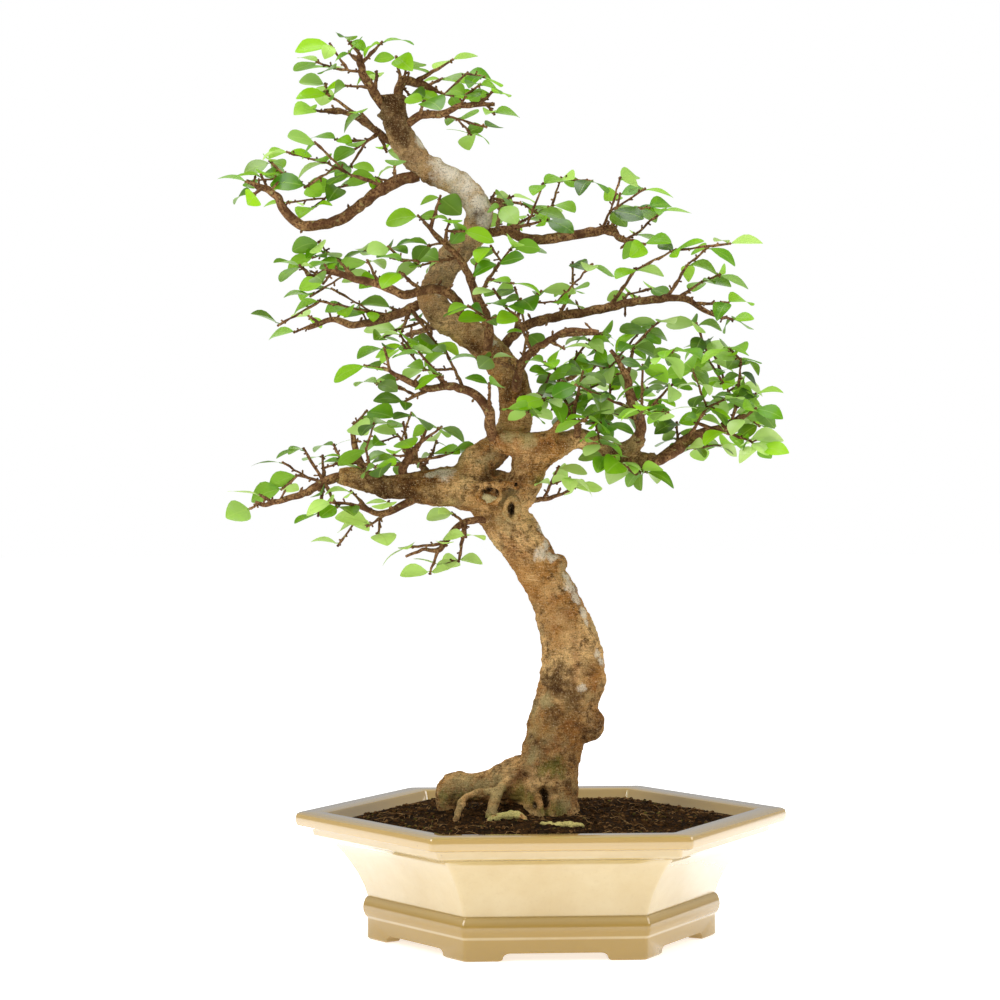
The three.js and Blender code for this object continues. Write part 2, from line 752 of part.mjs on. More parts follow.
function growTwigs(spray, owner, wood) {
  const places = startPlaces(spray.stem);
  const twigs = [];
  spray.tips.forEach(([x, z], index) => {
    const nearest = places.reduce((best, place) => {
      const distance = Math.hypot(place.point.x - x, place.point.z - z);
      return distance < best.distance ? { distance, place } : best;
    }, { distance: Infinity }).place;
    for (let attempt = 0; attempt < 7; attempt += 1) {
      const share = ((index * 0.618034 + attempt * 0.29) % 1) * 2 - 1;
      const end = new THREE.Vector3(x, nearest.point.y * 0.6 + spray.depth * share, z);
      const start = bestStart(places, end);
      const length = start.point.distanceTo(end);
      const radius = Math.min(start.radius * 0.85, 1.1 + 0.014 * length);
      const route = [
        [...start.point.toArray(), radius],
        [...end.toArray(), twigTipRadius],
      ];
      const stretches = stretchesOf(route, owner);
      if (isClear(stretches[0], wood, owner, twigClearance)) {
        const heading = end.clone().sub(start.point).normalize();
        for (const share of [0.55, 1]) {
          places.push({
            point: start.point.clone().lerp(end, share),
            radius: radius + (twigTipRadius - radius) * share,
            path: start.path + length * share,
            heading,
          });
        }
        wood.push(...stretches);
        twigs.push({ route, start: start.point, end, heading, owner, index });
        break;
      }
    }
  });
  return twigs;
}

// A leaf's place, frame and size, drawn at random about its twig's heading
function drawLeaf(twig, random) {
  const bearing = Math.atan2(twig.heading.y, twig.heading.x) + leafTurn + (random() - 0.5) * 0.9;
  const rise = -0.3 + 0.75 * random();
  const roll = (random() - 0.5) * 1.7;
  const length = leafMinLength + (leafMaxLength - leafMinLength) * random();
  const width = length * (leafMinSlimness + 0.16 * random());
  const along = new THREE.Vector3(
    Math.cos(bearing) * Math.cos(rise), Math.sin(bearing) * Math.cos(rise), Math.sin(rise),
  );
  const level = new THREE.Vector3(0, 0, 1).cross(along).normalize();
  const upright = along.clone().cross(level);
  const up = upright.clone().multiplyScalar(Math.cos(roll)).addScaledVector(level, Math.sin(roll));
  const across = up.clone().cross(along);
  return { root: twig.end, along, across, up, length, width, owner: twig.owner, twig };
}

function leafPoint(leaf, lengthShare, widthShare, lift) {
  return leaf.root.clone()
    .addScaledVector(leaf.along, leaf.length * lengthShare)
    .addScaledVector(leaf.across, leaf.width / 2 * widthShare)
    .addScaledVector(leaf.up, lift);
}

// The leaf's outline as two triangles each side of its rib
function leafTriangles(leaf) {
  const root = leafPoint(leaf, 0.14, 0, 0);
  const tip = leafPoint(leaf, 1.03, 0, 0);
  const left = leafPoint(leaf, 0.6, -1.08, 0);
  const right = leafPoint(leaf, 0.6, 1.08, 0);
  return [[root, right, tip], [root, tip, left]];
}

function crosses(from, to, triangle) {
  const [a, b, c] = triangle;
  const edge1 = b.clone().sub(a);
  const edge2 = c.clone().sub(a);
  const ray = to.clone().sub(from);
  const across = ray.clone().cross(edge2);
  const scale = edge1.dot(across);
  if (Math.abs(scale) < 1e-9) {
    return false;
  }
  const offset = from.clone().sub(a);
  const u = offset.dot(across) / scale;
  const q = offset.cross(edge1);
  const v = ray.dot(q) / scale;
  const t = edge2.dot(q) / scale;
  return u >= 0 && v >= 0 && u + v <= 1 && t >= 0 && t <= 1;
}

function leavesCross(one, two) {
  const reach = (one.length + two.length) * 0.55;
  if (leafPoint(one, 0.55, 0, 0).distanceTo(leafPoint(two, 0.55, 0, 0)) > reach) {
    return false;
  }
  const pairs = [[leafTriangles(one), leafTriangles(two)], [leafTriangles(two), leafTriangles(one)]];
  return pairs.some(([edges, faces]) => edges.some((triangle) => triangle.some((point, index) => {
    const next = triangle[(index + 1) % 3];
    return faces.some((face) => crosses(point, next, face));
  })));
}

function leafMeetsWood(leaf, wood) {
  const triangles = leafTriangles(leaf);
  const middle = leafPoint(leaf, 0.6, 0, 0);
  return wood.some((stretch) => {
    const reach = leaf.length * 0.6 + stretch.radius + stretch.from.distanceTo(stretch.to);
    if (stretch.from.distanceTo(middle) > reach) {
      return false;
    }
    const rib = { from: leafPoint(leaf, 0.25, 0, 0), to: leafPoint(leaf, 1, 0, 0) };
    const margin = stretch.owner === leaf.owner ? 0.2 : 1;
    return stretchDistance(rib, stretch) < stretch.radius + margin
      || triangles.some((triangle) => crosses(stretch.from, stretch.to, triangle));
  });
}

function growLeaf(twig, wood, leaves) {
  const random = seeded(twig.owner * 977 + twig.index * 31 + 3);
  for (let attempt = 0; attempt < 8; attempt += 1) {
    const leaf = drawLeaf(twig, random);
    const bent = leaf.along.dot(twig.heading) < -0.2;
    if (!bent && !leafMeetsWood(leaf, wood) && !leaves.some((other) => leavesCross(leaf, other))) {
      return leaf;
    }
  }
  return null;
}

// A twig that ends in a thin blade, flat above and keeled below, drooping to its tip
function shoot(twig, leaf) {
  const seam = twig.heading.clone().add(leaf.along).normalize();
  const points = [];
  for (const [centre, radius, along] of [
    [twig.start, twig.route[0][3], twig.heading], [twig.end, twigTipRadius, seam],
  ]) {
    const normal = leaf.across.clone().addScaledVector(along, -leaf.across.dot(along)).normalize();
    points.push(...ringPoints(centre, normal, along.clone().cross(normal), radius * 1.2, 3));
  }
  for (const [share, widthShare, thickShare] of [[0.42, 0.94, 1], [0.78, 0.74, 0.9]]) {
    const droop = -leafDroop * leaf.length * share * share;
    const fold = leafFold * leaf.width * widthShare;
    for (const [side, lift] of [[widthShare, fold], [-widthShare, fold],
      [0, fold - leafThickness * thickShare]]) {
      points.push(leafPoint(leaf, share, side, droop + lift).toArray());
    }
  }
  points.push(leafPoint(leaf, 1, 0, -leafDroop * leaf.length).toArray());
  return toSolid(closedGeometry(points, ringFaces(4, 3, true)));
}

function touches(one, two) {
  const a = one.boundingBox();
  const b = two.boundingBox();
  const apart = [0, 1, 2].some((axis) => a.min[axis] > b.max[axis] || b.min[axis] > a.max[axis]);
  return !apart && !one.intersect(two).isEmpty();
}

// Assembly

const sprayNames = Object.keys(sprays);
const wood = Object.values(limbs).flatMap((route) => stretchesOf(route, -1));
sprayNames.forEach((name, owner) => {
  wood.push(...stretchesOf(sprays[name].stem.slice(2), owner));
});

const twigs = sprayNames.flatMap((name, owner) => growTwigs(sprays[name], owner, wood));
const leaves = [];
for (const twig of twigs) {
  const leaf = growLeaf(twig, wood, leaves);
  if (leaf) {
    leaves.push(leaf);
  }
}

const limbSides = { lowerTrunk: 10, middleTrunk: 8, leftLimb: 7, rightLimb: 7 };
const stemSides = 4;

function woodSolids(names, grow) {
  return names.map((name) => tube(limbs[name], limbSides[name] ?? 5, grow));
}

function makeTrunk() {
  const lumps = swellings.map(({ at, size }) => ellipsoid(at, size));
  let trunk = joined([...woodSolids(Object.keys(limbs), 0), ...lumps]);
  trunk = trunk.subtract(ellipsoid([-22, -20, 349], [4.5, 9, 7])); // the hollow in the fork
  trunk = trunk.subtract(ellipsoid([8, -32, 115], [5.5, 10, 10])); // and the one at the foot
  for (const name of sprayNames) {
    trunk = trunk.subtract(tube(sprays[name].stem, stemSides, gap * 1.5, socketSteps + 1));
  }
  return whole(trunk);
}

const rootNames = ['lowerTrunk', ...Object.keys(limbs).filter((name) => name.endsWith('Root'))];
const trunk = makeTrunk();
const sprayWood = sprayNames.map((name, owner) => {
  const own = twigs.filter((twig) => twig.owner === owner).map((twig) => tube(twig.route, 3, gap));
  return joined([tube(sprays[name].stem, stemSides), ...own]);
});

// Leaves that would cross wood or another leaf are left out
const shoots = [];
for (const twig of twigs) {
  const leaf = leaves.find((candidate) => candidate.twig === twig);
  const solid = leaf ? shoot(twig, leaf) : null;
  const meetsWood = solid && sprayWood.some((body, owner) => owner !== twig.owner
    && touches(solid, body));
  const meetsShoot = solid && shoots.some((other) => other.leafy && other.owner !== twig.owner
    && touches(solid, other.solid));
  if (solid && !meetsWood && !meetsShoot && !touches(solid, trunk)) {
    shoots.push({ owner: twig.owner, solid, leafy: true });
  } else {
    shoots.push({ owner: twig.owner, solid: tube(twig.route, 3), leafy: false });
  }
}

const tree = new THREE.Group();
tree.rotation.z = THREE.MathUtils.degToRad(treeTurn);
tree.add(toMesh('trunk', trunk, bark));
sprayNames.forEach((name, owner) => {
  const own = shoots.filter((grown) => grown.owner === owner).map((grown) => grown.solid);
  const solid = whole(joined([tube(sprays[name].stem, stemSides), ...own]));
  tree.add(toMesh(name, solid, foliage));
});

const turn = new THREE.Matrix4().makeRotationZ(THREE.MathUtils.degToRad(treeTurn));
const rootHole = joined(woodSolids(rootNames, gap * 1.5)).transform(turn.elements);
const vessel = new THREE.Group();
vessel.add(toMesh('pot', makePot(), glaze));
vessel.add(toMesh('soil', whole(makeSoil().subtract(rootHole)), earth));

const bonsai = new THREE.Group();
bonsai.add(vessel, tree);
bonsai.updateMatrixWorld(true);

// The origin goes to the middle of the whole thing's underside
const bounds = new THREE.Box3().setFromObject(bonsai, true);
const middle = bounds.getCenter(new THREE.Vector3());
bonsai.position.set(-middle.x, -middle.y, -bounds.min.z);

export default bonsai;
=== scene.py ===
import math

import bpy
from mathutils import Matrix, Vector, noise


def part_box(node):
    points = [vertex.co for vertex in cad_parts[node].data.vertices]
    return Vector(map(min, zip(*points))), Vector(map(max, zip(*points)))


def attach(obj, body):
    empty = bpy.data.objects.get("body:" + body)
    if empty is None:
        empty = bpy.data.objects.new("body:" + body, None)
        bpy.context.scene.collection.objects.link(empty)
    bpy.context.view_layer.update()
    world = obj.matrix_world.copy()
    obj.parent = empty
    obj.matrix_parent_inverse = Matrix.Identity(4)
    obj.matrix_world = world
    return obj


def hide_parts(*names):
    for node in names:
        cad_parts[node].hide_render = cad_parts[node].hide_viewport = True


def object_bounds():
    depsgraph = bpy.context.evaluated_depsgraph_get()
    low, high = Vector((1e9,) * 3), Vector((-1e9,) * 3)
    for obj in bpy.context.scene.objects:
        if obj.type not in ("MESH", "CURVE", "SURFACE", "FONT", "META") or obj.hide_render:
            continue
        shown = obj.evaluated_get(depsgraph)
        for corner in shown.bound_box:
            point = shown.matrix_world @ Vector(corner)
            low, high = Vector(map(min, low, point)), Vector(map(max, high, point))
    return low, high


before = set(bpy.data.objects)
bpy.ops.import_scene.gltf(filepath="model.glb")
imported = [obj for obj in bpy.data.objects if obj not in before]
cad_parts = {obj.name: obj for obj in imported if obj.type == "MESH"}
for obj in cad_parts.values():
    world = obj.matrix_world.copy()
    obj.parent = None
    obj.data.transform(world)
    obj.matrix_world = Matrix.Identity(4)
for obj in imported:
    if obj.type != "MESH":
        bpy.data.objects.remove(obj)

# An acerola bonsai in a six-sided glazed pot. Lengths are millimetres until a piece is set down.
# The tree has its own frame: X to the right, Y to the back, origin at the pot's centre on the ground.

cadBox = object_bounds()
potLow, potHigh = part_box("pot")
potCentre = Vector(((potLow.x + potHigh.x) / 2, (potLow.y + potHigh.y) / 2, 0))
treeTurn = math.radians(-4.25)
potFrame = Matrix.Translation(potCentre) @ Matrix.Scale(0.001, 4)
treeFrame = potFrame @ Matrix.Rotation(treeTurn, 4, "Z")
scene = bpy.context.scene


# Helpers

def selectOnly(*things):
    bpy.ops.object.select_all(action="DESELECT")
    for thing in things:
        thing.select_set(True)
    bpy.context.view_layer.objects.active = things[0]


def addObject(name, data):
    thing = bpy.data.objects.new(name, data)
    scene.collection.objects.link(thing)
    return thing


def newMesh(name, points, faces, edges=()):
    mesh = bpy.data.meshes.new(name)
    mesh.from_pydata(points, edges, faces)
    mesh.update()
    return addObject(name, mesh)


def extrudedOutline(name, points, depth):
    # A closed block from one flat outline, drawn out along Y
    thing = newMesh(name, points, [range(len(points))])
    selectOnly(thing)
    bpy.ops.object.mode_set(mode="EDIT")
    bpy.ops.mesh.select_all(action="SELECT")
    bpy.ops.mesh.extrude_region_move(TRANSFORM_OT_translate={"value": (0, depth, 0)})
    bpy.ops.mesh.select_all(action="SELECT")
    bpy.ops.mesh.normals_make_consistent(inside=False)
    bpy.ops.object.mode_set(mode="OBJECT")
    return thing


def applyModifier(thing, kind, **settings):
    selectOnly(thing)
    modifier = thing.modifiers.new(kind.lower(), kind)
    for key, value in settings.items():
        setattr(modifier, key, value)
    bpy.ops.object.modifier_apply(modifier=modifier.name)


def joinAll(things):
    selectOnly(*things)
    bpy.ops.object.join()
    return things[0]


def cutAway(thing, cutter):
    applyModifier(thing, "BOOLEAN", object=cutter, operation="DIFFERENCE", solver="EXACT")
    bpy.data.objects.remove(cutter)


def roundTubes(name, routes, ringSteps, smooth=True):
    # One closed round tube along each route of (x, y, z, radius) points
    curve = bpy.data.curves.new(name, "CURVE")
    curve.dimensions = "3D"
    curve.bevel_depth = 1
    curve.bevel_resolution = ringSteps
    curve.use_fill_caps = True
    curve.resolution_u = 5
    for route in routes:
        spline = curve.splines.new("BEZIER" if smooth else "POLY")
        points = spline.bezier_points if smooth else spline.points
        points.add(len(route) - 1)
        for point, (x, y, z, radius) in zip(points, route):
            point.co = (x, y, z) if smooth else (x, y, z, 1)
            point.radius = radius
            if smooth:
                point.handle_left_type = point.handle_right_type = "AUTO"
    selectOnly(addObject(name, curve))
    bpy.ops.object.convert(target="MESH")
    return bpy.context.view_layer.objects.active


def setDown(thing, name, place, material, slot, *nodes):
    # Puts a finished piece in its place, with its finish, on the object's only body
    thing.name = thing.data.name = name
    thing.data.transform(place)
    thing.data.materials.clear()
    thing.data.materials.append(material)
    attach(thing, "root")
    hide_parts(*nodes)
    return thing


# Materials

def newMaterial(name, **settings):
    # Starts a finish. The helpers below add their nodes to the one begun last
    global nodeTree, objectPlace
    material = bpy.data.materials.new(name)
    material.use_nodes = True
    nodeTree = material.node_tree
    shader = nodeTree.nodes["Principled BSDF"]
    for key, value in settings.items():
        shader.inputs[key.replace("_", " ")].default_value = value
    objectPlace = addNode("TexCoord").outputs["Object"]
    return material, shader


def addNode(kind, inputs=(), **settings):
    # inputs pairs a socket's name or number with a value or with another node's output
    node = nodeTree.nodes.new("ShaderNode" + kind)
    for key, value in settings.items():
        setattr(node, key, value)
    for socket, value in dict(inputs).items():
        if isinstance(value, bpy.types.NodeSocket):
            nodeTree.links.new(value, node.inputs[socket])
        else:
            node.inputs[socket].default_value = value
    return node


def noiseOf(scale, detail=4, roughness=0.55, distortion=0, stretch=None):
    where = objectPlace
    if stretch:
        where = addNode("Mapping", {"Vector": objectPlace, "Scale": stretch}).outputs["Vector"]
    return addNode("TexNoise", {
        "Vector": where, "Scale": scale, "Detail": detail, "Roughness": roughness, "Distortion": distortion,
    }).outputs["Fac"]


def cellsOf(scale, output):
    return addNode("TexVoronoi", {"Vector": objectPlace, "Scale": scale}).outputs[output]


def axesOf(vector):
    axes = addNode("SeparateXYZ", {"Vector": vector}).outputs
    return axes["X"], axes["Y"], axes["Z"]


def ramp(value, low, high):
    # 0 at the low value, 1 at the high one
    limits = {"Value": value, "From Min": low, "From Max": high}
    return addNode("MapRange", limits, clamp=True).outputs["Result"]


def combine(operation, one, two=0):
    return addNode("Math", {0: one, 1: two}, operation=operation).outputs[0]


def times(one, two):
    return combine("MULTIPLY", one, two)


def plus(one, two):
    return combine("ADD", one, two)


def minus(one, two):
    return combine("SUBTRACT", one, two)


def tinted(base, share, weight, tint):
    # The base colour with another laid over it, by a share that may vary and a plain weight
    node = addNode("Mix", {0: share if weight == 1 else times(share, weight), 6: base, 7: tint},
                   data_type="RGBA", blend_type="MIX")
    return node.outputs[2]


def finishWith(shader, base, height, strength, distance):
    # Joins the colour and a fine relief to the shader
    nodeTree.links.new(base, shader.inputs["Base Color"])
    bump = addNode("Bump", {"Height": height, "Strength": strength, "Distance": distance})
    nodeTree.links.new(bump.outputs["Normal"], shader.inputs["Normal"])


def colour(red, green, blue):
    # A screen colour out of 255 as the linear one that shaders take
    def linear(value):
        share = value / 255
        return share / 12.92 if share <= 0.04045 else ((share + 0.055) / 1.055) ** 2.4
    return (linear(red), linear(green), linear(blue), 1)


def nearPatches(patches, edgeNoise, softness=0.18):
    # 1 on some ragged patches, each (x, y, z, reach) in the tree's frame, and 0 away from them
    ragged = times(edgeNoise, 2.6)
    best = 0
    for x, y, z, reach in patches:
        centre = treeFrame @ Vector((x, y, z))
        away = addNode("VectorMath", {0: objectPlace, 1: centre}, operation="DISTANCE").outputs["Value"]
        share = plus(combine("DIVIDE", away, reach * 0.001), ragged)
        best = combine("MAXIMUM", best, ramp(share, 2.3, 2.3 - softness))
    return best


# Routes of the wood, each a list of (x, y, z, radius)

limbs = {
    "lowerTrunk": [
        (5, -6, 82, 26.1), (4, -5, 113, 25.7), (6, -4, 139, 24.5), (10, -4, 162, 24.5), (19, -3, 192, 26.1),
        (25, -2, 214, 27.3), (24, 0, 235, 25.3), (15, 1, 265, 20.8), (6, 2, 286, 19.6), (-5, 4, 305, 18.4),
        (-19, 4, 327, 19.6), (-32, 4, 345, 20.4), (-41, 4, 359, 20.4), (-48, 4, 371, 17.1),
    ],
    "middleTrunk": [
        (-41, 4, 358, 18), (-56, 5, 375, 16.5), (-54, 6, 386, 14.5), (-43, 8, 397, 13), (-30, 9, 408, 12.8),
        (-21, 10, 423, 13.9), (-21, 9, 438, 13.9), (-26, 8, 459, 13.5), (-41, 8, 478, 12.6),
        (-61, 7, 495, 12.6), (-84, 6, 511, 12.2), (-90, 5, 521, 11.4), (-86, 4, 534, 11), (-74, 2, 555, 11.8),
        (-57, 1, 574, 11.4), (-52, 0, 589, 11), (-56, 0, 603, 11), (-70, 0, 616, 10.6), (-92, 0, 627, 10.6),
        (-109, 0, 644, 11), (-119, 0, 664, 11.4), (-122, 0, 681, 9.8), (-123, 0, 686, 6.5),
    ],
    "leftLimb": [
        (-41, 4, 359, 16.3), (-59, 2, 366, 18), (-77, 0, 369, 16.7), (-93, -2, 368, 15.1),
        (-110, -4, 369, 11.4), (-126, -6, 369, 9.8), (-144, -7, 374, 9), (-160, -8, 377, 7.8),
        (-166, -10, 378, 5.7),
    ],
    "rightLimb": [
        (-30, 3, 353, 16.3), (-19, 1, 364, 14.7), (-12, 0, 378, 13.9), (-6, -2, 390, 13.1),
        (4, -3, 398, 11.4), (16, -5, 404, 9.8), (29, -6, 408, 8.2), (41, -4, 405, 8.2), (52, -2, 399, 7.8),
        (65, 0, 395, 8.2), (80, 2, 390, 7.3), (93, 4, 391, 5.7),
    ],
    "rightLimbFork": [
        (59, -1, 397, 6.5), (70, -3, 400, 7.3), (77, -5, 405, 6.5), (80, -7, 410, 5.3),
    ],
    "crossLimb": [
        (-40, -1, 405, 9), (-33, -5, 406, 10.2), (-22, -8, 404, 10.2), (-9, -10, 404, 9.5),
        (3, -12, 408, 7.3), (11, -16, 416, 4.1), (17, -19, 425, 2.3), (19, -22, 433, 1.3),
    ],
    "hiddenLimb": [
        (-48, 12, 376, 5.7), (-33, 12, 379, 5.7), (-13, 12, 371, 6.5),
    ],
    "leftRoot": [
        (3, 0, 128, 20), (-14, 4, 132, 17.6), (-30, 8, 127, 15.1), (-46, 12, 122, 12.7), (-61, 15, 121, 11.8),
        (-73, 18, 121, 12.6), (-77, 20, 110, 11.4), (-76, 21, 96, 8.6),
    ],
    "archedRoot": [
        (-18, -8, 136, 5.7), (-28, -17, 130, 4.5), (-36, -26, 120, 4.1), (-42, -32, 106, 4.1),
        (-44, -38, 88, 3.3),
    ],
    "thinRoot": [
        (-25, -14, 129, 3.3), (-39, -22, 122, 2.9), (-52, -30, 122, 2.8), (-63, -35, 118, 2.8),
        (-68, -39, 107, 2.6), (-73, -44, 88, 2.4),
    ],
    "rearRoot": [
        (5, 4, 128, 18), (10, 28, 111, 12.2), (22, 56, 100, 8.2), (55, 92, 83, 4.1),
    ],
    "rearLeftRoot": [
        (-2, 8, 124, 14.7), (-15, 30, 111, 9.8), (-34, 56, 101, 6.5), (-53, 82, 82, 3.3),
    ],
}

